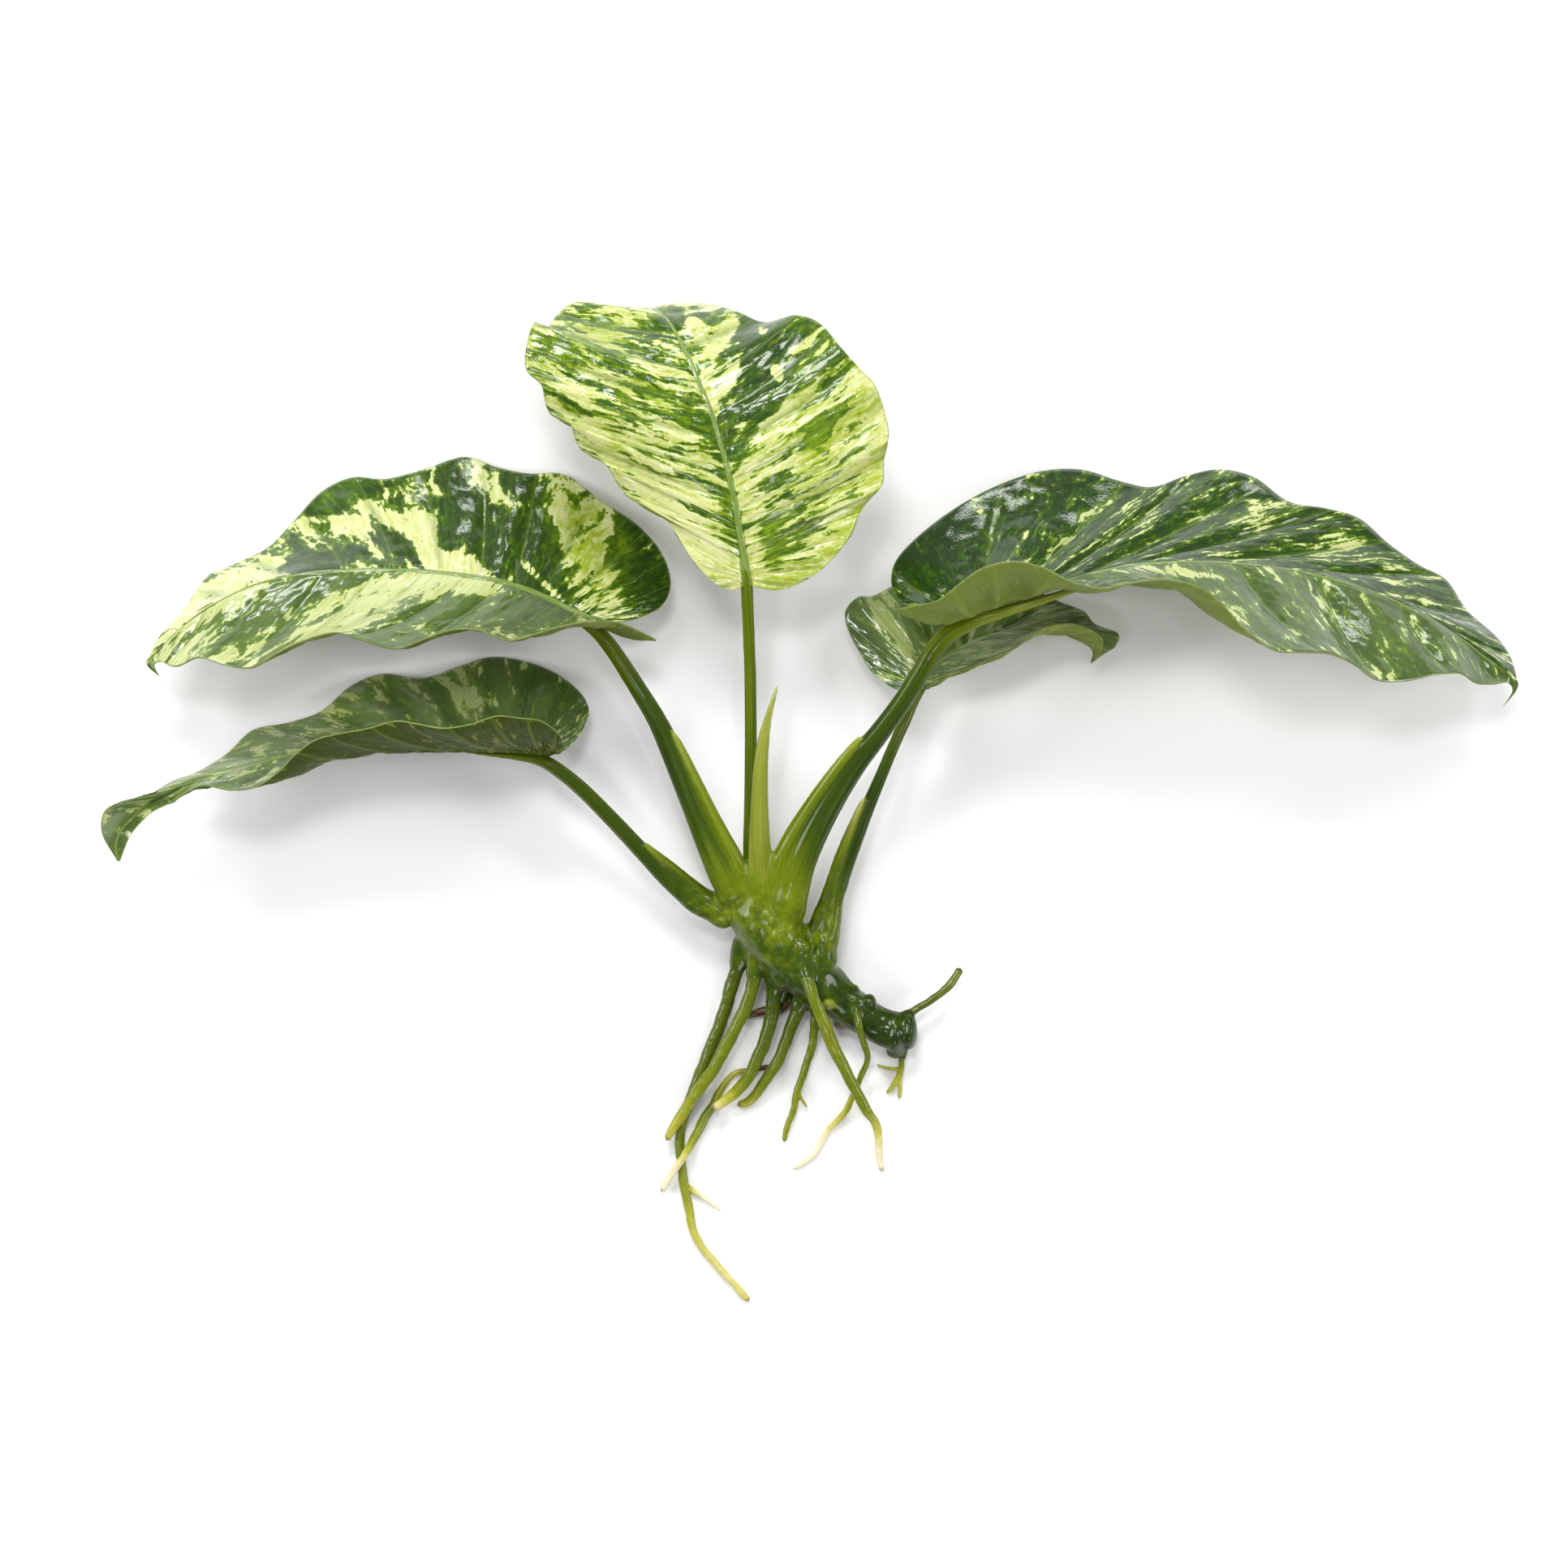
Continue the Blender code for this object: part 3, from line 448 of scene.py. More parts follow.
live_root, tree, shader = material_of("root", 0.45, 0.6, 0.08, 0.1)
_, (tone, brownness, _) = kept("tone")
place = in_mm()
mottle = grain(place, 0.7, 4, 0.6)
speck = grain(place, 3, 2, 0.6)
shade = total(spread(speck, 0.14), spread(mottle, 0.22), tone)
root_green = ramp(shade, [
    (0.0, ROOT_DARK), (0.3, ROOT_GREEN), (0.5, ROOT_YELLOW), (0.74, ROOT_PALE), (0.95, ROOT_CREAM),
])
bumps = relief(total(speck, mottle), 0.35, 0.0001)
paint(shader, blend(brownness, root_green, ROOT_BROWN), bumps, bumps)

noise.seed_set(3)  # or else the roots sway differently each time
for name, root in ROOTS.items():
    sweeps = [root, *ROOTLETS.get(name, [])]
    parts = [
        stem_at(f"{name}_{number}", sweep, ROOT_SIDES, ROOT_RINGS) for number, sweep in enumerate(sweeps)]
    strand = joined(parts)
    if len(parts) > 1:
        finish(strand, "REMESH", mode="VOXEL", voxel_size=ROOT_VOXEL, use_smooth_shade=True)
        finish(strand, "SMOOTH", factor=0.5, iterations=4)
    strand.name = f"{name}_strand"
    skin = places_of(strand)
    _, _, tone_of = belonging(skin, sweeps)
    # The very tips are brown, and the foot is darker than the rest.
    brown = np.clip(-tone_of, 0, 1)
    for sweep in sweeps:
        x, y, z, wide, _, _ = sweep.points[-1]
        from_tip = np.linalg.norm(skin - (x, y, z), axis=1)
        brown = np.maximum(brown, CAP[0] * np.exp(-(from_tip / (CAP[1] * wide)) ** 4))
    from_foot = np.linalg.norm(skin - root.points[0][:3], axis=1)
    tone_of -= FOOT[0] * tone_of * np.exp(-((from_foot / FOOT[1]) ** 3))
    put(strand, "tone", np.stack([np.clip(tone_of, 0, 1), brown, brown], 1))
    # The root swells, thins and sways a little on its way.
    swell = ROOT_SWELL * cloud(skin * 0.8) + ROOT_LUMPS * cloud(skin * 2.4)
    sway = ROOT_SWAY * np.array([noise.noise_vector(Vector(point)) for point in skin * 0.3])
    move_to(strand, skin + sway * (1, 1, 0) + normals_of(strand) * swell[:, None])
    strand.data.shade_smooth()
    strand.data.materials.clear()
    strand.data.materials.append(live_root)
    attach(strand, "root")
    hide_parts(name)

# The rhizome, the leaf stalks and the bud sheath
# One living body: a creeping stem whose crown carries five leaf stalks and the pale sheath of the
# next bud. Each is swept along its own line, and all of them are melted into one skin, so that the
# stalks run into the crown in smooth webs as grown tissue does.

STALKS = {
    "petiole_top": Sweep([
        (-13.6, 53.5, 22.6, 0.25, 0.25, 0.5), (-11.8, 46.5, 21.8, 0.5, 0.5, 0.5),
        (-10.8, 40, 20.5, 0.85, 0.85, 0.46), (-10.3, 35.4, 19.8, 1, 1, 0.42), (-10.1, 31, 18.5, 1, 1, 0.4),
        (-9.9, 26, 16.8, 1, 1, 0.38), (-9.7, 20, 14.9, 1, 1, 0.36), (-9.6, 12, 12.8, 1, 1, 0.34),
        (-9.6, 4, 10.6, 1.05, 1.05, 0.34), (-9.7, -4, 8.6, 1.15, 1.15, 0.4), (-9.8, -12, 7, 1.3, 1.3, 0.5),
    ]),
    "petiole_left_upper": Sweep([
        (-55, 36.3, 14.6, 0.2, 0.2, 0.6), (-49, 35.1, 14.3, 0.4, 0.4, 0.58),
        (-43, 32.8, 13.9, 0.6, 0.6, 0.54), (-38, 30.2, 13.5, 0.9, 0.9, 0.5),
        (-34.6, 27.9, 13.1, 1.2, 1.2, 0.46), (-32.5, 25.6, 12.8, 1.3, 1.3, 0.4),
        (-30.6, 22.9, 12.6, 1.35, 1.35, 0.34), (-27.6, 18.2, 12.4, 1.45, 1.45, 0.28),
        (-24.6, 13.2, 11.9, 1.6, 1.55, 0.22), (-22, 7.6, 11.2, 1.85, 1.7, 0.18),
        (-19, 0.6, 10.4, 2.15, 1.85, 0.2), (-16.4, -5.4, 9.6, 2.5, 2, 0.28),
        (-13.6, -11.2, 8.8, 3, 2.2, 0.4), (-11, -16, 8, 3.2, 2.4, 0.5),
    ], face=(0.2, 0.1, 1)),
    "petiole_left_lower": Sweep([
        (-58, 8.6, 14.3, 0.2, 0.2, 0.45), (-52, 7.9, 13.9, 0.4, 0.4, 0.42),
        (-46.8, 7.5, 13.6, 0.7, 0.7, 0.38), (-43.2, 6.9, 13.4, 1.05, 1.05, 0.34),
        (-40.4, 5.3, 13, 1.2, 1.2, 0.3), (-36.4, 2, 12.2, 1.25, 1.25, 0.26),
        (-31.2, -3.3, 11, 1.3, 1.3, 0.22), (-26.8, -8, 9.7, 1.4, 1.35, 0.2),
        (-22.8, -12, 8.4, 1.7, 1.5, 0.22), (-18.6, -15.2, 7.2, 2.3, 1.9, 0.28),
        (-12, -18.6, 6, 2.8, 2.3, 0.42),
    ], face=(-0.1, 0.3, 1)),
    "petiole_right_upper": Sweep([
        (52, 37, 20.2, 0.2, 0.2, 0.7), (46, 35.4, 21, 0.4, 0.4, 0.7), (41, 33.8, 21.5, 0.6, 0.6, 0.7),
        (35.6, 32.1, 21.8, 0.8, 0.8, 0.68), (30, 30.4, 21.9, 1.05, 1, 0.62),
        (25.2, 28.8, 21.8, 1.35, 1.3, 0.5), (21.7, 26.8, 21.5, 1.6, 1.55, 0.4),
        (19.4, 24, 21, 1.6, 1.55, 0.34), (17.6, 21, 20.4, 1.55, 1.5, 0.28),
        (14.8, 16.6, 19.2, 1.55, 1.5, 0.22), (11.2, 11.6, 17.6, 1.7, 1.6, 0.17),
        (7.2, 6.6, 15.8, 2, 1.8, 0.15), (3.6, 1.4, 13.9, 2.35, 1.95, 0.17),
        (0.7, -3.8, 12, 2.55, 2.1, 0.22), (-1.7, -9.2, 10.3, 2.75, 2.3, 0.36),
        (-3.6, -15, 8.8, 3.3, 2.7, 0.5), (-4.6, -20, 7.6, 3.6, 3, 0.5),
    ], face=(-0.15, -0.1, 1)),
    "petiole_right_lower": Sweep([
        (33.5, 28, 7.4, 0.15, 0.15, 0.5), (28.6, 26.9, 7.1, 0.3, 0.3, 0.45),
        (23.8, 24.5, 7.1, 0.5, 0.5, 0.42), (19.8, 21.2, 7.4, 0.75, 0.75, 0.4),
        (17, 17.4, 7.6, 0.95, 0.95, 0.36), (15.2, 13.4, 7.8, 1, 1, 0.32), (13.3, 9.2, 8, 1, 1, 0.28),
        (11.3, 4.4, 8, 1.05, 1, 0.22), (9.2, -0.6, 7.9, 1.2, 1.1, 0.18), (7.2, -5.6, 7.8, 1.35, 1.2, 0.16),
        (5.4, -10.6, 7.6, 1.4, 1.3, 0.2), (3.9, -15.4, 7.4, 1.5, 1.4, 0.3), (2.9, -19.6, 7, 1.9, 1.8, 0.42),
        (2, -24, 6.4, 2.6, 2.4, 0.42),
    ], face=(-0.2, 0, 1)),
    "bud_sheath": Sweep([
        (-5.3, 19.3, 18.8, 0.2, 0.2, 0.82), (-5.8, 17.3, 18.3, 0.4, 0.35, 0.8),
        (-6.7, 14.2, 17.4, 0.6, 0.5, 0.78), (-7.5, 10.6, 16.4, 0.95, 0.75, 0.74),
        (-8, 6, 15.2, 1.2, 1, 0.7), (-8.2, 0, 13.6, 1.45, 1.2, 0.68), (-8.2, -6, 12, 1.75, 1.35, 0.66),
        (-8, -10.6, 10.4, 2.2, 1.6, 0.62), (-7.6, -15.2, 9, 2.8, 1.9, 0.56),
        (-6.8, -20, 7.8, 3.2, 2.1, 0.5), (-5.4, -24.5, 6.4, 2.6, 1.8, 0.42),
    ], face=(0.1, 0, 1)),
}
# The thin pale edges of the leaf sheaths, which clasp the next stalk's foot.
WINGS = [
    Sweep([
        (-22.2, 11.6, 12.6, 0.3, 0.28, 0.86), (-20.9, 9.4, 12.6, 0.6, 0.38, 0.8),
        (-18.6, 4.6, 12.1, 0.8, 0.45, 0.68), (-16.2, -0.4, 11.5, 0.9, 0.55, 0.6),
        (-13.9, -5, 10.9, 1.05, 0.7, 0.56), (-11.9, -8.8, 10.2, 1.2, 0.9, 0.5),
        (-10.6, -12.4, 8.8, 1.6, 1.3, 0.44), (-9.6, -16, 7.4, 2, 1.8, 0.4),
    ], face=(0.5, 0.3, 1)),
    Sweep([
        (-26.9, -6.1, 11.6, 0.3, 0.28, 0.7), (-25.2, -7.7, 10.9, 0.6, 0.4, 0.5),
        (-22.4, -10, 9.7, 0.8, 0.5, 0.36), (-19.2, -12.8, 8.4, 1, 0.65, 0.32),
        (-15.4, -15.8, 6.8, 1.3, 0.9, 0.34), (-12, -18, 5.6, 1.6, 1.3, 0.36),
    ], face=(0.3, 0.6, 1)),
    Sweep([
        (8.3, 11, 17.9, 0.3, 0.28, 0.86), (6.7, 9.2, 17.5, 0.65, 0.38, 0.78),
        (4.3, 6.2, 16.5, 0.85, 0.45, 0.66), (1.2, 2, 14.9, 0.95, 0.55, 0.56),
        (-1.3, -1.8, 13.5, 1.05, 0.65, 0.5), (-3.3, -5.2, 12.3, 1.2, 0.85, 0.5),
        (-4.8, -8.8, 10.9, 1.5, 1.2, 0.52), (-5.8, -13, 9.2, 2, 1.7, 0.46), (-6, -17, 7.6, 2.4, 2.2, 0.4),
    ], face=(-0.5, 0.3, 1)),
    Sweep([
        (8.6, 1.1, 8.9, 0.3, 0.28, 1), (7.6, -1, 8.8, 0.55, 0.34, 0.95), (6, -4.8, 8.6, 0.75, 0.4, 0.8),
        (4.6, -8.4, 8.4, 0.85, 0.45, 0.56), (3.4, -11.8, 8.1, 0.9, 0.55, 0.4),
        (2.2, -15.4, 7.6, 1, 0.75, 0.32), (1.2, -18.8, 7, 1.4, 1.2, 0.26), (0.4, -22.4, 6.2, 2, 1.8, 0.24),
        (0.6, -26, 5.4, 2.4, 2.4, 0.2),
    ], face=(-0.5, 0.2, 1)),
]
RHIZOME = Sweep([
    (-9.6, -11.6, 6, 4.6, 3, 0.55), (-8.6, -15.8, 6.2, 5.4, 4.2, 0.4), (-6.2, -20.6, 6.2, 5.3, 4.7, 0.27),
    (-2.8, -25.2, 5.7, 4.7, 4.5, 0.2), (1, -28.6, 5, 4.2, 4, 0.15), (5, -31.8, 4.3, 3.5, 3.4, 0.11),
    (8.7, -34.4, 4, 3.1, 3.1, 0.08), (12.2, -36.2, 3.9, 3, 3, 0.06), (15, -36.9, 3.8, 3.1, 3.1, 0.05),
    (16.6, -37.2, 3.7, 2.8, 2.8, 0.03),
])
# The crown's bulk and the stub where the lower right stalk leaves, each a middle and half sizes.
BULK = [
    ((-8.8, -14.6, 6), (6.4, 5, 3.8)),
    ((1.9, -24.2, 6.3), (2.5, 4.4, 3.4)),
    ((-4.2, -27.2, 5.2), (3, 2.9, 3.8)),
]
# Smaller swellings, each with a tone too: old leaf scars, root buds and the rim of the cut end.
KNOBS = [
    ((-4.8, -20.8, 9.4), (2, 1.7, 1.6), 0.5), ((-5.6, -24.6, 8.4), (1.9, 1.5, 1.5), 0.46),
    ((-1.6, -23, 9.2), (1.7, 1.6, 1.2), 0.3), ((4.9, -35.2, 3.5), (1.4, 1.4, 1.4), 0.1),
    ((2.8, -32.3, 7.6), (0.8, 0.65, 0.7), 0.62), ((7, -31.6, 6.2), (1.7, 1.3, 1.4), 0.14),
    ((9.4, -32.4, 5.8), (1.2, 1.8, 1.5), 0.08), ((13.6, -36.8, 3.9), (1.5, 3.4, 3.4), 0.06),
    ((15.9, -36.6, 3.9), (1.3, 3.2, 3.2), 0.04), ((13.6, -39.8, 2.9), (1.5, 1.4, 1.6), 0.16),
]
# Where the skin is brown: a dead scale under the creeping stem, and its cut end, with an amount.
BROWN_SPOTS = [((5, -36.3, 3.4), (1.5, 1.3, 1.9), 1), ((17.6, -37.4, 3), (1.2, 2.6, 2.6), 0.4)]
CROWN = ((-5, -14.5, 9.5), (9, 7.5, 6))  # its middle and half sizes
CREEPING_FROM = -10  # mm, the y where the creeping stem starts, and the mm until it is all of it
CREEPING_OVER = 8
# A collar's points: how far along it is, and how much thicker than the root. A collar is a bit paler.
COLLAR = ((-0.8, 0.8), (0, 0.5), (0.5, 0.15), (1, -0.3))
COLLAR_LENGTH = 4  # mm, or less if the root's first two points are closer
COLLAR_PALER = 0.12
RIB_HEIGHT = 0.05  # mm, of the ribs along the stalks
LUMP_HEIGHT = 0.3  # mm, of the lumps on the rhizome
STALK_SIDES = 20
SKIN_VOXEL = 0.26 * MM  # melts the stems together
CUT_DEPTH = 0.7 * MM  # how far a cut is pulled inwards

# Each root leaves the rhizome through a collar, which starts deep in the rhizome and thins until it
# has sunk into the root. One root grows from under another and has none.
COLLARS = []
for name, root in ROOTS.items():
    if name != "root_pale":
        first, second = (np.array(point[:3]) for point in root.points[:2])
        way = (second - first) * min(1, COLLAR_LENGTH / np.linalg.norm(second - first))
        wide, thin, tone = root.points[0][3:]
        COLLARS.append(Sweep([
            (*(first + along * way), wide + more, thin + more, max(tone, 0) + COLLAR_PALER)
            for along, more in COLLAR
        ]))

sweeps = [*STALKS.values(), *WINGS, RHIZOME, *COLLARS]
parts = [stem_at(f"stem_{number}", sweep, STALK_SIDES) for number, sweep in enumerate(sweeps)]
for middle, halves in BULK + [knob[:2] for knob in KNOBS]:
    bpy.ops.mesh.primitive_ico_sphere_add(subdivisions=4, radius=1)
    knob = bpy.context.object
    move_to(knob, read(knob.data.vertices, "co") * halves + middle)
    parts.append(knob)
stalks = joined(parts)
finish(stalks, "REMESH", mode="VOXEL", voxel_size=SKIN_VOXEL, use_smooth_shade=True)
finish(stalks, "SMOOTH", factor=0.5, iterations=10)
# The stalks' feet flow into the crown.
merging = stalks.vertex_groups.new(name="merging")
near_crown = np.linalg.norm((places_of(stalks) - CROWN[0]) / CROWN[1], axis=1)
for index, weight in enumerate(np.clip(1.6 - 1.3 * near_crown, 0, 1)):
    if weight > 0:
        merging.add([index], weight, "REPLACE")
finish(stalks, "SMOOTH", factor=0.5, iterations=60, vertex_group="merging")

# Each point of the skin belongs to the stem it lies closest to. Its place along and around that
# stem carries the fibres, and the stem's tone carries the colour.
skin = places_of(stalks)
owner, fibre, tone_of = belonging(skin, sweeps)
for middle, halves, tone in KNOBS:
    reach = np.linalg.norm((skin - middle) / (np.array(halves) + 0.4), axis=1)
    tone_of += (tone - tone_of) * np.exp(-(np.maximum(reach - 0.7, 0) ** 2) * 12)
brown = sum(
    amount * np.exp(-(np.linalg.norm((skin - middle) / halves, axis=1) ** 3))
    for middle, halves, amount in BROWN_SPOTS
)
# 0 on the stalks, 1 on the creeping stem
creeping = np.clip((CREEPING_FROM - skin[:, 1]) / CREEPING_OVER, 0, 1)
put(stalks, "fibre", fibre)
put(stalks, "tone", np.stack([tone_of, brown, creeping], 1))
put(stalks, "owner", np.stack([owner, owner, owner], 1))

# Fine ribs along the stalks, and lumps on the rhizome.
ribs = RIB_HEIGHT * cloud(fibre * (2.1, 2.1, 0.05))
lumps = LUMP_HEIGHT * (cloud(skin * 0.3) + 0.15 * cloud(skin * 0.8))
lift = (1 - creeping) * ribs + creeping * lumps
move_to(stalks, skin + normals_of(stalks) * lift[:, None])
stalks.data.shade_smooth()
put(stalks, "smooth", normals_of(stalks))

STALK_DARK = rgb(24, 42, 0)
STALK_MID = rgb(54, 74, 0)
STALK_BRIGHT = rgb(98, 114, 0)
SHEATH_PALE = rgb(142, 148, 56)
SHEATH_CREAM = rgb(214, 214, 138)
SCALE_BROWN = rgb(90, 52, 20)

wet_stalk, tree, shader = material_of("stalk skin", 0.45, 0.4, 0.14, 0.08)
fibres, _ = kept("fibre")
_, (tone, brownness, age) = kept("tone")
place = in_mm()
stripes = grain(fibres, (3.4, 3.4, 0.05), 3, 0.6)
broad = grain(fibres, (1.1, 1.1, 0.04), 2, 0.5, (9, 4, 2))
mottle = grain(place, 0.55, 4, 0.6)
speck = grain(place, 3.2, 2, 0.6)
streak = total(spread(broad, 0.36), spread(stripes, 0.36))
blotch = total(spread(speck, 0.2), spread(mottle, 0.75))
mixed = add("ShaderNodeMix", {0: age, 2: streak, 3: blotch}, data_type="FLOAT").outputs[0]
skin_green = ramp(total(tone, mixed), [
    (0.0, STALK_DARK), (0.25, STALK_MID), (0.5, STALK_BRIGHT), (0.78, SHEATH_PALE),
    (1.0, SHEATH_CREAM),
])
bumps = relief(total(stripes, times(speck, age)), 0.25, 0.00006)
paint(shader, blend(times(brownness, 0.8), skin_green, SCALE_BROWN), bumps, bumps)

# The skin is cut into the pieces of the plant. A cut is closed off inside, and the pieces keep the
# whole skin's normals, so that it can't be seen.
PIECES = {
    # piece: its node, its slot and the numbers of its stems
    "stalk_top": ("petiole_top", "petiole", (0,)),
    "stalk_left_upper": ("petiole_left_upper", "petiole", (1, 6)),
    "stalk_left_lower": ("petiole_left_lower", "petiole", (2, 7)),
    "stalk_right_upper": ("petiole_right_upper", "petiole", (3, 8)),
    "stalk_right_lower": ("petiole_right_lower", "petiole", (4, 9)),
    "next_bud": ("bud_sheath", "bud_sheath", (5,)),
    "creeping_stem": ("rhizome", "rhizome", ()),  # all that is left
}
for name, (node, slot, numbers) in PIECES.items():
    piece = stalks
    pick(stalks)
    if numbers:
        own = np.isin(np.rint(read(stalks.data.attributes["owner"].data, "vector")[:, 0]), numbers)
        first = read(stalks.data.polygons, "loop_start", 1, int)[:, 0]
        corner = read(stalks.data.loops, "vertex_index", 1, int)[:, 0]
        stalks.data.polygons.foreach_set("select", own[corner[first]])
        bpy.ops.object.mode_set(mode="EDIT")
        bpy.ops.mesh.select_mode(type="FACE")
        bpy.ops.mesh.separate(type="SELECTED")
        bpy.ops.object.mode_set(mode="OBJECT")
        piece = next(part for part in bpy.context.selected_objects if part != stalks)
    piece.name = name
    pick(piece)
    bpy.ops.object.mode_set(mode="EDIT")
    bpy.ops.mesh.select_mode(type="VERT")
    bpy.ops.mesh.select_all(action="DESELECT")
    bpy.ops.mesh.select_non_manifold()
    bpy.ops.mesh.extrude_edges_move()
    bpy.ops.object.mode_set(mode="OBJECT")
    smooth = read(piece.data.attributes["smooth"].data, "vector")
    for vertex, outwards in zip(piece.data.vertices, smooth):
        if vertex.select:
            vertex.co -= Vector(outwards) * CUT_DEPTH
    bpy.ops.object.mode_set(mode="EDIT")
    bpy.ops.mesh.fill_holes(sides=0)
    bpy.ops.object.mode_set(mode="OBJECT")
    for spent in ("smooth", "owner"):
        piece.data.attributes.remove(piece.data.attributes[spent])
    piece.data.normals_split_custom_set_from_vertices(smooth)
    look = wet_stalk.copy()
    look.name = f"{slot} skin"
    if slot == "rhizome":  # it is the wettest
        wetter = look.node_tree.nodes["Principled BSDF"].inputs
        wetter["Coat Weight"].default_value = 0.6
        wetter["Coat Roughness"].default_value = 0.06
    piece.data.materials.clear()
    piece.data.materials.append(look)
    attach(piece, "root")
    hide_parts(node)

# The leaf blades
# Five thick, leathery blades, wet from the water. Their green is broken up by cream and yellow
# patches where the cells lack green, drawn out along the side veins. Each blade is one sheet that
# grows on its stalk, which runs on below it as the midrib.

LEAF_DEEP = rgb(18, 48, 0)
LEAF_GREEN = rgb(60, 92, 0)
LEAF_FRESH = rgb(110, 138, 4)
LEAF_YELLOW = rgb(152, 168, 48)
LEAF_CREAM = rgb(190, 196, 114)
LEAF_WHITE = rgb(210, 214, 158)
RIB_GREEN = rgb(134, 156, 76)
UNDER_OLIVE = rgb(46, 58, 0)
UNDER_PALE = rgb(124, 140, 62)
UNDER_FLECK = rgb(160, 166, 70)
EDGE_PALE = rgb(134, 152, 76)
# The last is a painted sheen: a pale grey-green standing in for light reflected off the wet film.
SHEEN_GREY = rgb(130, 150, 88)


def variegation():
    """The fields that the colours follow: the place along the veins, a mask of the crisp cream
    patches, how far a place is from them, how yellow it is, and the streaks along the veins."""
    vein_space, _ = kept("vein_space")
    _, (cream, yellow, _) = kept("paint")
    place = in_mm()
    drift = add("ShaderNodeTexNoise", {"Vector": place, "Scale": 0.2, "Detail": 3}).outputs["Color"]
    warped = stretched(drift, (5, 3.2, 0), vein_space)
    patches = grain(warped, (0.11, 0.36, 1), 3, 0.5)
    drops = grain(warped, (0.34, 0.95, 1), 3, 0.55, (5, 3, 7))
    streaks = grain(warped, (0.12, 1.5, 1), 3, 0.6, (2, 8, 3))
    blots = grain(warped, (0.2, 0.5, 1), 4, 0.6, (12, 3, 9))
    rough = grain(place, 1.1, 3, 0.6)
    field = total(
        patches, spread(drops, 0.45), spread(rough, 0.24), spread(streaks, 0.22), times(cream, 0.5))
    loose = step(total(drops, spread(rough, 0.25), times(cream, 0.25)), 0.7, 0.72)
    solid = step(total(blots, spread(rough, 0.3), times(cream, -0.12)), 0.655, 0.64)
    creamy = times(calc("MAXIMUM", step(field, 0.545, 0.565), loose), solid)
    wash = total(spread(blots, 1.6), spread(streaks, 1.1), spread(rough, 0.8), yellow)
    return vein_space, creamy, field, wash, streaks


wet_leaf, tree, shader = material_of("variegated leaf", 0.5, 1.0, 0.05, 0.08)
vein_space, creamy, field, wash, streaks = variegation()
_, (_, yellow, _) = kept("paint")
rib_space, (from_rib, vein, from_edge) = kept("rib")
_, (bloom, clear, bulge) = kept("bloom")
place = in_mm()
# The green is deepest in the middle of a green patch and fresher towards its cream edge.
green = blend(step(field, 0.40, 0.52), LEAF_DEEP, LEAF_GREEN)
green = blend(step(wash, 0.0, 0.8), green, LEAF_GREEN)
fringe = times(step(field, 0.46, 0.56), step(yellow, -0.25, 0.7))
green = blend(fringe, green, LEAF_FRESH)
green = blend(step(wash, 0.55, 1.15), green, LEAF_FRESH)
cream = blend(step(streaks, 0.35, 0.6), LEAF_CREAM, LEAF_WHITE)
cream = blend(step(wash, 0.45, 0.95), cream, LEAF_YELLOW)
cream = blend(step(wash, 1.0, 1.5), cream, LEAF_FRESH)
face = blend(times(creamy, clear), green, cream)
# Painted shade makes the troughs over the side veins greener, and the side veins' lines and the midrib are paler.
face = blend(times(step(bulge, 0.0, -0.5), 0.4), face, LEAF_GREEN)
line = times(step(calc("PINGPONG", vein, 0.5), 0.045, 0.0), step(from_rib, 1.0, 4.0))
face = blend(times(line, 0.18), face, RIB_GREEN)
# A greener band beside the midrib, in its groove, is painted shade.
face = blend(times(step(from_rib, 1.7, 1.1), 0.7), face, LEAF_GREEN)
lines = grain(rib_space, (2.6, 0.25, 0), 2, 0.6)
rib_green = blend(step(vein, 0.3, 4.5), STALK_BRIGHT, RIB_GREEN)
rib_green = blend(times(step(lines, 0.6, 0.4), 0.6), rib_green, LEAF_GREEN)
face = blend(times(step(from_rib, 1.05, 0.8), 0.9), face, rib_green)
# A painted sheen, a pale grey-green standing in for light reflected off the wet film, lies on some halves, and the
# margin has a thin pale rim.
face = blend(times(bloom, 0.6), face, SHEEN_GREY)
face = blend(times(step(from_edge, 0.28, 0.08), 0.35), face, EDGE_PALE)
# The wet film beads over the leaf's cells, which break its reflections up into sparks.
film = relief(grain(place, 3, 2, 0.6), 1.0, 0.000022)
paint(shader, face, relief(grain(vein_space, (0.5, 3.2, 1), 3, 0.6), 0.5, 0.00004), film)
gloss = total(times(step(grain(place, 1.5, 3, 0.6), 0.40, 0.62), 0.2), 0.4)
tree.links.new(gloss, shader.inputs["Roughness"])

leaf_back, tree, shader = material_of("leaf underside", 0.5, 0.03, 0.2, 0.04)
vein_space, creamy, _, _, streaks = variegation()
_, (from_rib, vein, _) = kept("rib")
_, (_, _, under) = kept("paint")
# The underside's olive to pale green is partly its own colour and partly painted light: painted shade where it
# lies in shade, painted sheen where it would catch the light.
back = blend(under, UNDER_OLIVE, UNDER_PALE)
back = blend(times(step(streaks, 0.4, 0.65), 0.1), back, UNDER_PALE)
back = blend(times(creamy, 0.35), back, UNDER_FLECK)
back = blend(times(step(from_rib, 1.7, 1.0), 0.5), back, STALK_MID)
line = step(calc("PINGPONG", vein, 0.5), 0.06, 0.0)
back = blend(times(line, 0.3), back, UNDER_PALE)
bumps = relief(grain(vein_space, (0.5, 3.2, 1), 3, 0.6), 0.4, 0.00012)
paint(shader, back, bumps, bumps)

leaf_edge, tree, shader = material_of("leaf edge", 0.45, 0.2, 0.2, 0.5)
edge_green = blend(grain(in_mm(), 0.8, 3, 0.6), STALK_MID, EDGE_PALE)
tree.links.new(edge_green, shader.inputs["Base Color"])
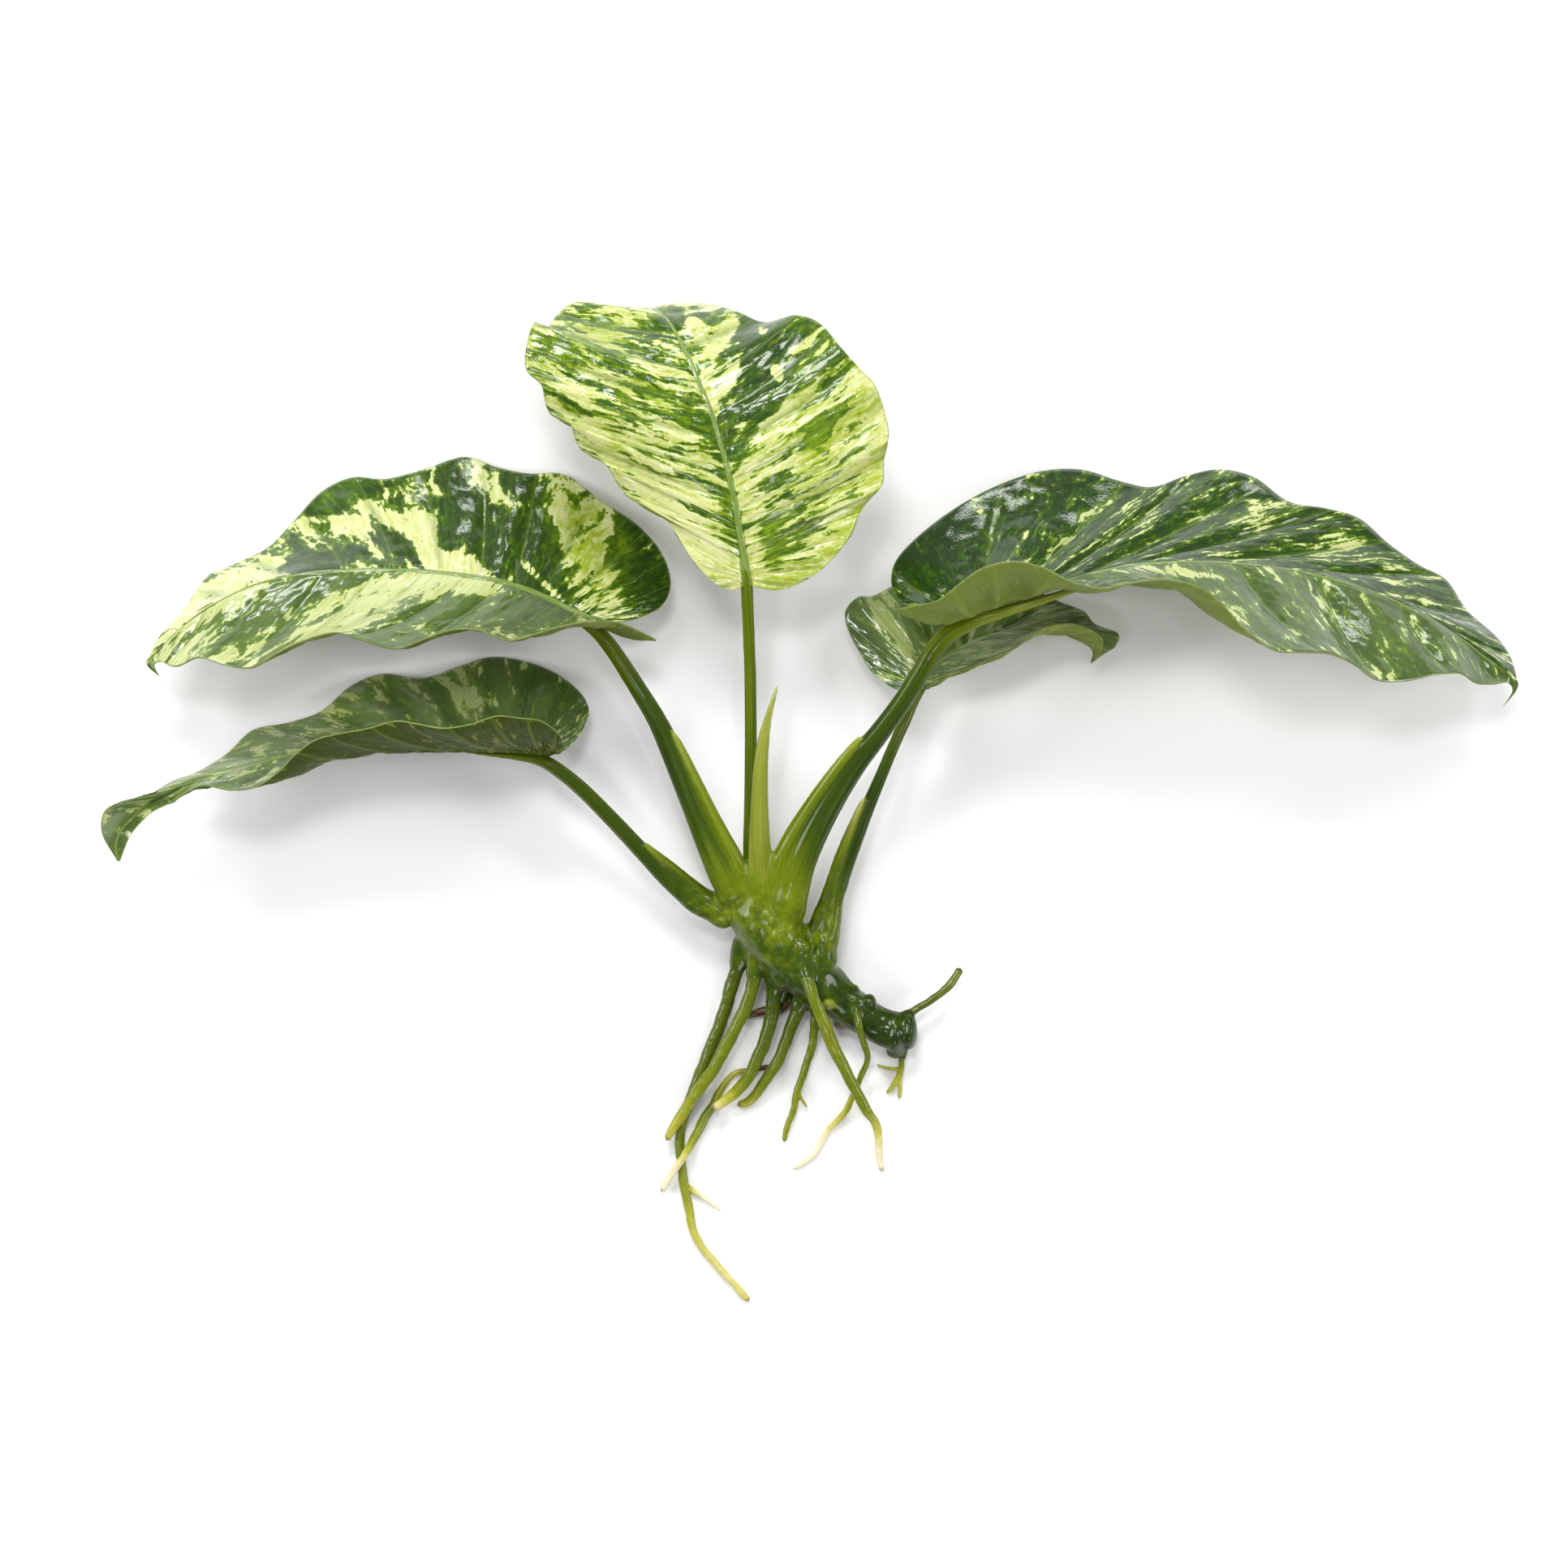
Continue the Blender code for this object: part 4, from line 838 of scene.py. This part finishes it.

# One blade. Its midrib and its two margins run from the stalk to the tip, named as seen from above
# with the tip ahead.
# sag: how far each half hangs below a straight line from midrib to margin, of its length
# sweep: how strongly its side veins sweep forward, and more or less so in the two halves
# flatter: the share of its right half's sag that it loses past its foot
# veins, quilt: the number of side veins in a half, and how many mm the tissue bulges between them
# cream, yellow, under, clear: how cream the whole leaf is, how yellow its green is, how pale its
# underside is, partly its own paler colour and partly painted light (darker where the underside lies in shade,
# paler where it would catch a sheen), and how clear its cream is
# fine: how fine its pattern is along and across the veins
# bloom: how much painted sheen, a pale grey standing in for reflected light, its two halves have
# splashes: splashes of colour, each its place (x, y), half its length and half its width in mm, the
# angle of its long side in degrees, how much creamier it is (below 0: greener), and how much yellower
Blade = namedtuple(
    "Blade", "midrib left right sag sweep flatter veins quilt cream yellow under clear fine bloom splashes")

BLADES = {
    "leaf_top": Blade(
        midrib=[
            (-10.2, 35, 20.5), (-10.9, 40, 21.6), (-12, 47, 23), (-13.5, 54, 24), (-15.5, 61, 24.4),
            (-17.8, 67, 23.6), (-20.4, 73, 21), (-23.4, 78, 16), (-26, 79.6, 9.5), (-27.5, 77.8, 4.2),
            (-27.6, 74.5, 1.4),
        ],
        left=[
            (-10.3, 34.9, 20.5), (-12.4, 34.1, 21), (-15.5, 35.3, 22.5), (-19, 39, 24), (-22.5, 44.5, 24.5),
            (-26, 47.2, 26.8), (-30, 49.8, 25), (-33, 54.3, 27.6), (-37, 57, 25), (-38.5, 60.5, 27.6),
            (-41.9, 62.7, 25), (-43, 66.8, 27), (-45.5, 69.6, 25), (-45.2, 73.5, 25.5), (-44.1, 76.8, 23.5),
            (-42.4, 76.2, 18), (-40.4, 78.6, 14), (-37.8, 80.5, 12), (-34.4, 79.5, 8.6), (-31, 79.6, 5.6),
            (-29, 77.6, 3), (-27.6, 74.5, 1.4),
        ],
        right=[
            (-10.1, 34.9, 20.5), (-8.2, 34.4, 21), (-5.2, 34.1, 22), (-1, 35.5, 23.5), (3, 38.5, 25),
            (6, 42.3, 26), (8.2, 47, 25), (11.2, 50.6, 27.5), (11.6, 54.5, 25.2), (12.3, 58, 27.5),
            (11.9, 62, 25), (10.2, 66.7, 26.6), (7.8, 69.4, 23.4), (4.8, 72.8, 23.4), (1.4, 76.8, 19.4),
            (-2.6, 78.1, 18.4), (-7.5, 77.2, 14), (-12, 79, 12.4), (-17, 80.4, 9), (-21.5, 80, 6),
            (-25.2, 78, 3.2), (-27.6, 74.5, 1.4),
        ],
        sag=(-0.05, -0.05), sweep=(2, 0.8, 1), flatter=0, veins=15, quilt=0.7,
        cream=0.13, yellow=0.6, under=0.7, clear=1, fine=(1.05, 1.35), bloom=(0, 0.05),
        splashes=[
            (-20, 43, 10, 4.5, -55, 0.42, -0.2), (-30, 54, 9, 2.5, -45, 0.25, 0),
            (-10, 36.5, 8, 2.5, -20, 0.4, 0.1), (-1, 36.5, 8, 2.2, 20, 0.35, 0.2),
            (11, 53, 10, 3, 75, 0.4, 0.1), (6, 44, 7, 2, 50, 0.3, 0.2), (9, 66, 5, 2, 120, 0.25, 0.1),
            (-5, 60, 9, 2.5, 45, 0.2, 0.1), (2, 57, 8, 3, 60, 0.15, 0.2), (-7, 53, 8, 2, 40, 0.25, 0),
            (-8, 71, 13, 6, 70, -0.45, -0.3), (3, 72, 7, 5, 60, -0.25, 0), (-41, 72, 4, 3, 60, -0.2, 0.2),
            (-34, 74, 6, 3, 20, -0.05, 0.2), (-22, 76.5, 6, 2.5, 20, -0.35, -0.2),
            (-13, 46, 7, 1.6, 100, -0.3, 0.1), (-6, 42, 5, 1.8, 90, -0.35, 0.3),
            (-5.4, 68.6, 1.7, 1, 110, 0.9, 0), (-13.2, 75.7, 3, 1.3, 60, 0.6, 0),
            (-15.5, 72.6, 2.4, 1.2, 70, 0.55, 0), (-12.8, 68.3, 4, 1.2, 60, 0.6, 0),
            (-18.6, 76.5, 4, 1.3, -60, 0.5, 0), (-16, 65, 4, 1.2, -75, 0.5, 0),
            (-7.7, 75.5, 1, 0.8, 0, 0.7, 0), (-3, 72.5, 0.9, 0.7, 0, 0.7, 0),
            (1, 59, 3.2, 2, 70, -0.6, 0.3), (-6, 51.5, 3, 1.2, 25, -0.6, 0),
            (5, 62.9, 0.8, 0.7, 0, -0.7, 0.1), (-17, 60, 8, 1.5, -40, -0.3, 0),
            (-24, 64, 9, 2, -30, -0.2, 0.1),
        ],
    ),
    "leaf_left_upper": Blade(
        midrib=[
            (-34, 29.3, 14), (-38.5, 31.2, 14.6), (-43.5, 33.6, 15), (-49, 35.5, 15.3), (-55, 36.5, 15.6),
            (-61, 37.2, 15.8), (-67, 37.5, 16), (-73, 37.5, 16), (-79, 37.2, 16), (-85, 36.3, 15.8),
            (-91, 34.4, 15.6), (-96.5, 31.5, 15.4), (-101, 28.1, 15.2), (-104.6, 24.6, 15),
            (-105.9, 22.9, 14.6), (-104.3, 20.2, 13),
        ],
        left=[
            (-34, 29.3, 14), (-30, 28.2, 14.6), (-26.4, 26.7, 16.5), (-24.7, 26.2, 19.5),
            (-27.2, 27.5, 23.5), (-31, 29, 27), (-35.5, 29, 30), (-40, 28.2, 32), (-44, 27, 33.3),
            (-48, 26, 34.4), (-52.5, 27.6, 35.6), (-57, 27.7, 36.2), (-61.5, 26.2, 35.6), (-66, 24.7, 35),
            (-71, 26, 36), (-75.5, 27.2, 36), (-80.5, 26, 33), (-85, 24, 29.5), (-89, 21.8, 26),
            (-93.5, 22.2, 23.5), (-97.8, 23.4, 21.5), (-101.5, 22, 18.5), (-104.2, 22.8, 16.2),
            (-105.2, 22, 14.8), (-104.3, 20.2, 13),
        ],
        right=[
            (-34, 29.3, 14), (-30.5, 29.2, 12.6), (-26.6, 30.2, 10.6), (-23.6, 32.2, 8.6),
            (-22.5, 35.6, 6.6), (-24, 40.4, 4.8), (-28, 45, 3.2), (-34, 49, 2), (-39.6, 53, 1),
            (-45.5, 53.2, 2.2), (-50.5, 54.2, 1.2), (-56, 55.9, 0.5), (-62, 54, 1.6), (-68.5, 52.3, 2.4),
            (-74, 52.6, 0.6), (-79, 50.2, 1.6), (-83.2, 45.6, 3.4), (-87.5, 41.2, 4), (-93, 38.5, 4),
            (-97.2, 36.5, 5.4), (-100.5, 31.5, 9), (-104.2, 27.2, 12.4), (-106, 23.8, 14.4),
            (-106.4, 22.2, 14.4), (-104.3, 20.2, 13),
        ],
        sag=(0.12, 0.04), sweep=(2.1, 1.2, 0.8), flatter=0, veins=15, quilt=0.7,
        cream=0, yellow=0.2, under=0.55, clear=0.95, fine=(1.8, 1.15), bloom=(0.5, 0.1),
        splashes=[
            (-95, 31, 12, 6, 35, 0.5, 0), (-72, 44, 14, 4, -25, 0.35, 0), (-59, 40, 12, 3, -40, 0.5, 0),
            (-76, 50, 7, 3, 20, -0.5, 0.3), (-80, 38.5, 4, 1.6, 5, -0.8, 0),
            (-67, 42, 5, 2.2, -35, -0.8, 0), (-74, 41, 4, 1.6, -35, -0.4, 0),
            (-58.5, 42.5, 2.4, 1.4, -75, -0.9, 0), (-54, 45, 9, 3, -60, -0.6, 0),
            (-45, 42, 12, 4, -70, -0.5, 0), (-50, 50, 6, 2, -50, 0.4, 0.1), (-36, 42, 12, 5, -70, 0.3, 0.6),
            (-30, 42, 5, 1.6, -80, -0.5, 0.3), (-27, 36, 7, 4, -60, -0.5, 0), (-88, 31, 14, 3, 25, -0.5, 0),
            (-66, 34, 14, 2.6, 12, 0.35, 0), (-52, 31, 12, 2.6, 0, -0.5, 0), (-76, 28, 8, 2, 25, 0.4, 0.1),
            (-68, 26, 6, 1.5, 0, -0.4, 0.1), (-44, 36.5, 6, 0.8, -45, 0.6, 0),
        ],
    ),
    "leaf_left_lower": Blade(
        midrib=[
            (-41, 8.8, 14.4), (-47, 9.2, 14.8), (-53, 9.3, 15.4), (-59, 9.2, 15.6), (-65, 9.2, 15.6),
            (-71, 9.2, 15.4), (-77, 8.9, 15), (-83, 8, 14.8), (-88.5, 6.6, 14.6), (-93.5, 5.2, 14.6),
            (-98.5, 3.4, 14.8), (-103, 1.2, 15), (-107, -1, 15), (-110, -3.6, 14.8), (-111.4, -6.6, 14.4),
            (-110.9, -9.7, 13.6),
        ],
        left=[
            (-41, 8.8, 14.4), (-39.8, 8.4, 17), (-39.5, 9.4, 21.5), (-40.2, 11.2, 27), (-42.8, 13.2, 31),
            (-46.2, 13.7, 33.4), (-50, 14, 34.8), (-54, 12.7, 35.4), (-58.4, 12.1, 36), (-62.6, 12.8, 36),
            (-66, 13.2, 35.4), (-70.5, 12, 34.8), (-75, 11.2, 34), (-78.8, 10.2, 32.4), (-82, 7.9, 30.6),
            (-85, 5, 28.6), (-88.5, 2.8, 26.4), (-92.5, 2.3, 24.6), (-97, 3, 22), (-99.6, 2, 20),
            (-102.6, 0.2, 18.2), (-106, -1.8, 16.6), (-108.9, -5, 15.4), (-110.9, -9.7, 13.6),
        ],
        right=[
            (-41, 8.8, 14.4), (-39.4, 8.6, 12.4), (-37.6, 10.4, 9.4), (-36.2, 12.8, 6.8), (-35.7, 15.2, 5),
            (-37.2, 18, 3.6), (-41, 21, 2.2), (-46, 22.9, 1.2), (-51.5, 23.6, 0.6), (-56.8, 22.1, 1.8),
            (-62.5, 20.2, 2.6), (-69, 20.9, 1.2), (-74.2, 18.9, 2.2), (-79, 14.8, 3.6), (-84.5, 13, 3.2),
            (-90, 11.8, 3.4), (-94, 8, 6.4), (-98.4, 5.2, 9.6), (-102.5, 3.6, 12.6), (-106.5, 1.2, 16),
            (-110.5, 0.3, 18.6), (-112.9, -1.6, 19.4), (-113.2, -5, 17.6), (-110.9, -9.7, 13.6),
        ],
        sag=(0.1, 0.06), sweep=(2.3, 1, 0.95), flatter=0, veins=15, quilt=0.7,
        cream=-0.06, yellow=0.2, under=0.05, clear=0.85, fine=(1.8, 1.3), bloom=(0.6, 0.9),
        splashes=[
            (-46, 16, 9, 6, 0, -0.25, 0), (-55, 18, 8, 3, -55, 0.3, 0.2), (-64, 15, 12, 4, 0, -0.1, 0),
            (-73, 17, 7, 3, 30, 0.12, 0.3), (-90, 10, 9, 3, 30, 0.05, 0.2), (-70, 10, 12, 3, 10, -0.2, 0),
        ],
    ),
    "leaf_right_upper": Blade(
        midrib=[
            (20.2, 29.2, 23), (26, 31.2, 23.4), (31, 32.9, 23.6), (36, 34.4, 23.4), (41, 35.8, 23),
            (46, 37.2, 22.4), (52, 38.3, 21.6), (59, 38.8, 20.8), (66, 38.7, 20), (73, 38.1, 19.2),
            (80, 36.9, 18.4), (86.5, 35.1, 17.8), (92.5, 33, 17.2), (98.5, 30.1, 16.6), (104, 26.6, 16),
            (109, 22.8, 15.2), (112.4, 20.2, 14.2), (113, 18.2, 12.8), (110.8, 15.1, 11.6),
        ],
        left=[
            (20.2, 29.2, 23), (18.9, 30.6, 21.4), (17.2, 31.8, 20), (14.6, 32.2, 18.4), (12.9, 35, 16.4),
            (13.8, 39.2, 14), (18.5, 44, 11), (25, 48.6, 8), (32, 52, 5), (38, 53.7, 2.6), (44, 53.8, 1.4),
            (49.8, 52, 2.4), (55, 51, 3.2), (60.4, 52.8, 1.6), (66, 53.9, 0.6), (71.6, 52.6, 1),
            (77, 48.7, 2.8), (83, 47.6, 2.2), (88.5, 46, 1), (93.2, 41.9, 2.2), (98, 38.5, 2.6),
            (102.5, 36, 2.6), (105.8, 31, 5), (110.2, 27, 7.4), (112.4, 23.5, 10.4), (113.2, 20.2, 13),
            (113.3, 18.3, 12.5), (110.8, 15.1, 11.6),
        ],
        right=[
            (20.2, 29.2, 23), (18.4, 29.2, 25), (16, 30.3, 27.5), (13.1, 30.8, 30), (16, 31.4, 34),
            (20, 32.3, 37.6), (23.6, 35, 39.8), (27.2, 37.4, 41), (32, 38.4, 41.8), (37, 37.3, 42),
            (41.2, 35.2, 42), (46, 34.2, 41.8), (51, 35.1, 41.6), (56.4, 35.5, 41.2), (61.5, 34.3, 40.6),
            (65.4, 31.3, 39.6), (68.8, 27.6, 38.8), (73.4, 24.4, 37.6), (77.8, 24.1, 36.6),
            (82.2, 23.9, 34.4), (86.2, 22.3, 32), (90, 19.8, 29.6), (95, 19.6, 27), (100, 20.7, 25),
            (103.8, 20.8, 22.6), (106.6, 19.2, 20), (110.2, 19.3, 16.6), (111.8, 19.2, 14),
            (112.5, 17.9, 12.8), (110.8, 15.1, 11.6),
        ],
        sag=(0.05, 0.16), sweep=(1.9, 1.35, 0.9), flatter=0.8, veins=13, quilt=1.4,
        cream=-0.18, yellow=0.12, under=0.7, clear=0.85, fine=(1.5, 1.35), bloom=(0.05, 0.4),
        splashes=[
            (20, 42, 12, 12, 0, -0.3, 0), (28, 41.6, 2.4, 1, 60, 0.3, 0.1), (40, 43, 14, 3, 40, 0.08, 0),
            (52, 45, 10, 3, 30, 0.12, 0), (84, 41.6, 6, 2.6, 10, 0.3, 0.1), (73, 46.5, 5, 2, 15, 0.3, 0.1),
            (96, 36, 8, 3, -35, 0.1, 0), (77, 33, 14, 3, -30, 0.04, 0), (68, 30, 4, 1.2, -60, 0.3, 0),
            (90, 27, 14, 3, -35, 0.06, 0), (58, 37, 9, 0.7, -8, 0.5, 0),
        ],
    ),
    "leaf_right_lower": Blade(
        midrib=[
            (17.2, 18.6, 9), (19.8, 22, 8.6), (24, 25, 8.2), (29, 27.2, 8.2), (34, 28.4, 8.6),
            (39, 28.5, 9), (43, 27, 8.8), (45.3, 24.8, 8), (45, 22.4, 7),
        ],
        left=[
            (17.2, 18.6, 9), (14, 18.2, 8.6), (10.5, 20.6, 8), (8, 24, 7.2), (6, 28, 6.2), (5.6, 31, 5.6),
            (7.6, 33.2, 5.6), (10, 33.4, 4), (13.2, 35, 2.6), (18, 37, 1.6), (24, 38, 0.8), (30, 36.8, 1.2),
            (36, 34.5, 1.8), (40.2, 32.5, 2.4), (44, 31, 3.6), (45.8, 28.9, 5.6), (49.4, 27.4, 7),
            (49.1, 25.3, 7.4), (47.2, 24, 7.4), (45, 22.4, 7),
        ],
        right=[
            (17.2, 18.6, 9), (18.4, 18.6, 10.6), (20.6, 19.7, 12.6), (24, 21.5, 15), (28, 23, 17.2),
            (32, 24.6, 18.8), (35.2, 26.8, 19.8), (38.2, 28.5, 20), (41.6, 28.9, 19), (44.6, 28.1, 16.6),
            (46.8, 26.4, 13.4), (46.6, 24.3, 10), (45, 22.4, 7),
        ],
        sag=(0.03, 0.12), sweep=(2.2, 1, 1), flatter=0, veins=9, quilt=0.6,
        cream=-0.06, yellow=0.15, under=0.7, clear=0.65, fine=(1.2, 1.4), bloom=(0.9, 0.9),
        splashes=[
            (13, 28, 7, 1.7, -62, 0.55, 0.1), (8, 28, 8, 4, -62, -0.3, 0), (28, 28, 14, 4, 10, 0, 0),
            (22, 35, 8, 2, -10, 0.1, 0.1), (36, 31, 6, 2, -30, 0.2, 0.1),
        ],
    ),
}

GRID = (300, 105)  # rows and columns of a blade's sheet
SMALL_GRID = (190, 81)
VEIN_BOW = 0.10  # how far a side vein bends back before it sweeps forward, of its length
BLADE_ENDS = (0.018, 0.996)  # where the sheet of a blade starts and stops, of its margin's length
PUCKER = 0.14  # mm of finer puckers
VEIN_SHIFT = 0.35  # how far the right half's side veins lie ahead of the left half's
MARGIN_THIN = (0.45, 2.5)  # the thickness at the margin, and how many mm it takes to thin
RIB_WIDTH = (0.95, 0.22)  # mm, half the midrib's width at the stalk and at the tip
GROOVE = 0.32  # mm that the midrib lies sunken in the blade
BLADE_THICK = 0.6  # mm
RIB_THICK = 1.5  # mm
MERGE = 0.015 * MM  # how close vertices are when they become one


def rise(value, low, high):
    """0 at low, 1 at high, and a smooth rise between."""
    share = np.clip((value - low) / (high - low), 0, 1)
    return share * share * (3 - 2 * share)


def blade_surface(blade, rows, columns):
    """Places of a blade's upper face on a grid whose rows are its side veins, with what each place
    is on the leaf: its side, its row and the length of its vein."""
    row = np.linspace(*BLADE_ENDS, rows)
    side = np.linspace(-1, 1, columns)
    side = np.sign(side) * np.abs(side) ** 1.25
    on_rib = row ** blade.sweep[0]
    root = on_line(blade.midrib, on_rib)
    forward = unit(on_line(blade.midrib, on_rib + 0.01) - on_line(blade.midrib, on_rib - 0.01))
    places = np.empty((rows, columns, 3))
    reach = np.empty((rows, columns))
    right_sag = blade.sag[1] * (1 - blade.flatter * rise(row, 0.2, 0.45)[:, None])
    halves = (-1, blade.left, blade.sag[0], blade.sweep[1]), (1, blade.right, right_sag, blade.sweep[2])
    for turn, margin_line, sag, more in halves:
        margin = on_line(margin_line, row ** (1 + (1 / more - 1) * rise(row, 0.1, 0.35)))
        across = margin - root
        length = np.linalg.norm(across, axis=1, keepdims=True)
        up = np.cross(across, forward) * turn
        bow = VEIN_BOW * rise(row, 0.3, 0.8)[:, None]
        middle = (root + margin) / 2 - up * sag - forward * length * bow
        half = side * turn >= 0
        t = np.abs(side[half])[None, :, None]
        places[:, half] = (
            (1 - t) ** 2 * root[:, None] + 2 * t * (1 - t) * middle[:, None] + t**2 * margin[:, None]
        )
        reach[:, half] = length
    return places, *np.broadcast_arrays(side, row[:, None]), reach


for number, (name, blade) in enumerate(BLADES.items()):
    rows, columns = SMALL_GRID if name == "leaf_right_lower" else GRID
    places, side, row, reach = blade_surface(blade, rows, columns)
    margins = np.linalg.norm(np.diff(on_line(blade.left, row[:, 0]), axis=0), axis=1).sum()
    t = np.abs(side)
    from_rib = t * reach
    from_edge = (1 - t) * reach
    rib_width = RIB_WIDTH[0] + (RIB_WIDTH[1] - RIB_WIDTH[0]) * row ** 0.5
    veins = row * blade.veins + VEIN_SHIFT * (side > 0) - 0.05 * t
    vein_space = np.stack([side * reach, row * margins, np.full_like(row, 40.0 * number)], 2)

    # The tissue bulges between the side veins, puckers finely, and sinks in at the midrib.
    across = np.gradient(places, axis=1)
    along = np.gradient(places, axis=0)
    normal = np.cross(across, along)
    skew = np.linalg.norm(normal, axis=-1) / np.maximum(
        np.linalg.norm(across, axis=-1) * np.linalg.norm(along, axis=-1), 1e-9)
    calm = rise(row, 0.02, 0.10) * rise(row, 0.99, 0.86) * rise(skew, 0.15, 0.5)
    bulge = np.abs(np.sin(math.pi * veins)) ** 0.75 - 0.6
    vein_gap = np.linalg.norm(along, axis=-1) * rows / blade.veins
    bulge *= calm * np.sin(math.pi * t**0.8) ** 0.7 * rise(vein_gap, 0.5, 6.0)
    pucker = cloud(vein_space * (0.30, 0.55, 1)) + 0.6 * cloud(vein_space * (0.7, 1.4, 1) + 9)
    pucker *= calm * rise(from_rib, 0.5, 3) * rise(from_edge, 0, 2)
    groove = np.exp(-((from_rib / (2.0 * rib_width)) ** 2))
    groove -= 0.9 * np.exp(-((from_rib / rib_width) ** 2))
    lift = blade.quilt * bulge + PUCKER * pucker - GROOVE * groove * calm
    places = places + unit(normal) * lift[..., None]

    x, y = places[..., 0], places[..., 1]
    creamier = np.full_like(row, blade.cream)
    yellower = np.full_like(row, blade.yellow)
    for middle_x, middle_y, long, short, angle, more_cream, more_yellow in blade.splashes:
        turn = math.radians(angle)
        ahead = (x - middle_x) * math.cos(turn) + (y - middle_y) * math.sin(turn)
        aside = (y - middle_y) * math.cos(turn) - (x - middle_x) * math.sin(turn)
        held = np.exp(-(((ahead / long) ** 2 + (aside / short) ** 2) ** 1.5))
        creamier += more_cream * held
        yellower += more_yellow * held
    # The painted sheen is stronger past the foot and on the ridges between the side veins, where the gloss would
    # catch the light, and weaker in the troughs.
    bloom = blade.bloom[0] + (blade.bloom[1] - blade.bloom[0]) * rise(side, -0.05, 0.05)
    bloom *= (0.4 + 0.6 * rise(row, 0.1, 0.5)) * (0.85 + bulge)

    leaf, r, c = sheet_at(name + "_blade", places)
    put(leaf, "vein_space", (vein_space * (*blade.fine, 1))[r, c])
    put(leaf, "bloom", np.stack([bloom, np.full_like(row, blade.clear), bulge], 2)[r, c])
    put(leaf, "rib", np.stack([from_rib / rib_width, veins, from_edge], 2)[r, c])
    put(leaf, "paint", np.stack([creamier, yellower, np.full_like(row, blade.under)], 2)[r, c])
    # It is thickest along the midrib, and thins to its foot, its tip and its margins.
    near_rib = np.clip(1 - from_rib / (3.2 * rib_width), 0, 1) * (1 - row)
    near_rib *= rise(row, 0.04, 0.14) * rise(t, 0.9, 0.3)
    thickness = BLADE_THICK + (RIB_THICK - BLADE_THICK) * near_rib
    thickness *= 0.08 + 0.92 * rise(np.minimum(reach, (1 - row) * margins), 0.5, 5)
    thickness *= MARGIN_THIN[0] + (1 - MARGIN_THIN[0]) * rise(from_edge, 0, MARGIN_THIN[1])
    thick = leaf.vertex_groups.new(name="thickness")
    for index, weight in enumerate((thickness / RIB_THICK)[r, c]):
        thick.add([index], weight, "REPLACE")
    merge(MERGE, False)
    leaf.data.materials.clear()
    for look in (wet_leaf, leaf_back, leaf_edge):
        leaf.data.materials.append(look)
    finish(
        leaf, "SOLIDIFY", thickness=RIB_THICK * MM, offset=-1, vertex_group="thickness",
        material_offset=1, material_offset_rim=2, use_quality_normals=True,
    )
    leaf.data.shade_smooth()
    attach(leaf, "root")
    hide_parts(name)

# The table top
# A plain white, matt sheet that the plant lies on.

TABLE_SIZE = 6

bpy.ops.mesh.primitive_plane_add(size=TABLE_SIZE)
table_top = bpy.context.object
table_top.name = "table_top"
matt_white, _, shader = material_of("matt white", 0.9, 0.0, 0.5, 0.1)
shader.inputs["Base Color"].default_value = (0.9, 0.9, 0.905, 1)
table_top.data.materials.append(matt_white)

# The camera and the lights
# The camera stands two metres up and looks straight down, and its lens gives the photo's frame. Five
# panels light the plant from the far side, from above and from all round. Five small ones add the
# glints in its wet skin.

CAMERA_HEIGHT = 2.0
FRAME_WIDTH = 0.2512  # m across the picture at the leaves' height
LEAF_HEIGHT = 0.015
FRAME_MIDDLE = (-0.00411, 0.00317)
LAMPS = {
    # name: place, width and height in m, watts
    "window": ((-0.2, 1.2, 1.3), (0.7, 0.4), 13.5),
    "above": ((-0.15, 0.55, 1.7), (0.36, 0.22), 7.0),
    "left": ((-1.2, 0.1, 0.8), (0.6, 0.4), 8.0),
    "right": ((1.2, -0.1, 0.8), (0.6, 0.4), 7.0),
    "near": ((0.1, -1.2, 0.8), (0.6, 0.4), 4.5),
    "glint_1": ((-0.5, 0.9, 0.5), (0.25, 0.12), 2.0),
    "glint_2": ((0.2, 1.2, 0.35), (0.5, 0.08), 2.5),
    "glint_3": ((0.6, 0.8, 0.9), (0.25, 0.12), 2.0),
    "glint_4": ((0.25, 0.1, 1.9), (0.2, 0.1), 1.5),
    "glint_5": ((-0.4, -0.3, 1.7), (0.2, 0.1), 1.5),
}
ROOM_LIGHT = 0.25

camera = bpy.data.objects.new("camera", bpy.data.cameras.new("camera"))
bpy.context.scene.collection.objects.link(camera)
bpy.context.scene.camera = camera
camera.location = (*FRAME_MIDDLE, LEAF_HEIGHT + CAMERA_HEIGHT)
camera.data.sensor_width = 36
camera.data.lens = camera.data.sensor_width * CAMERA_HEIGHT / FRAME_WIDTH
camera.data.clip_end = 20
for name, (place, (width, height), watts) in LAMPS.items():
    lamp = bpy.data.objects.new(name, bpy.data.lights.new(name, "AREA"))
    bpy.context.scene.collection.objects.link(lamp)
    lamp.location = place
    lamp.rotation_euler = Vector(place).to_track_quat("Z", "Y").to_euler()
    lamp.data.shape = "RECTANGLE"
    lamp.data.size = width
    lamp.data.size_y = height
    lamp.data.energy = watts
world = bpy.data.worlds.new("studio")
bpy.context.scene.world = world
world.use_nodes = True
world.node_tree.nodes["Background"].inputs["Color"].default_value = (1, 1, 1, 1)
world.node_tree.nodes["Background"].inputs["Strength"].default_value = ROOM_LIGHT
bpy.context.scene.view_settings.view_transform = "Standard"
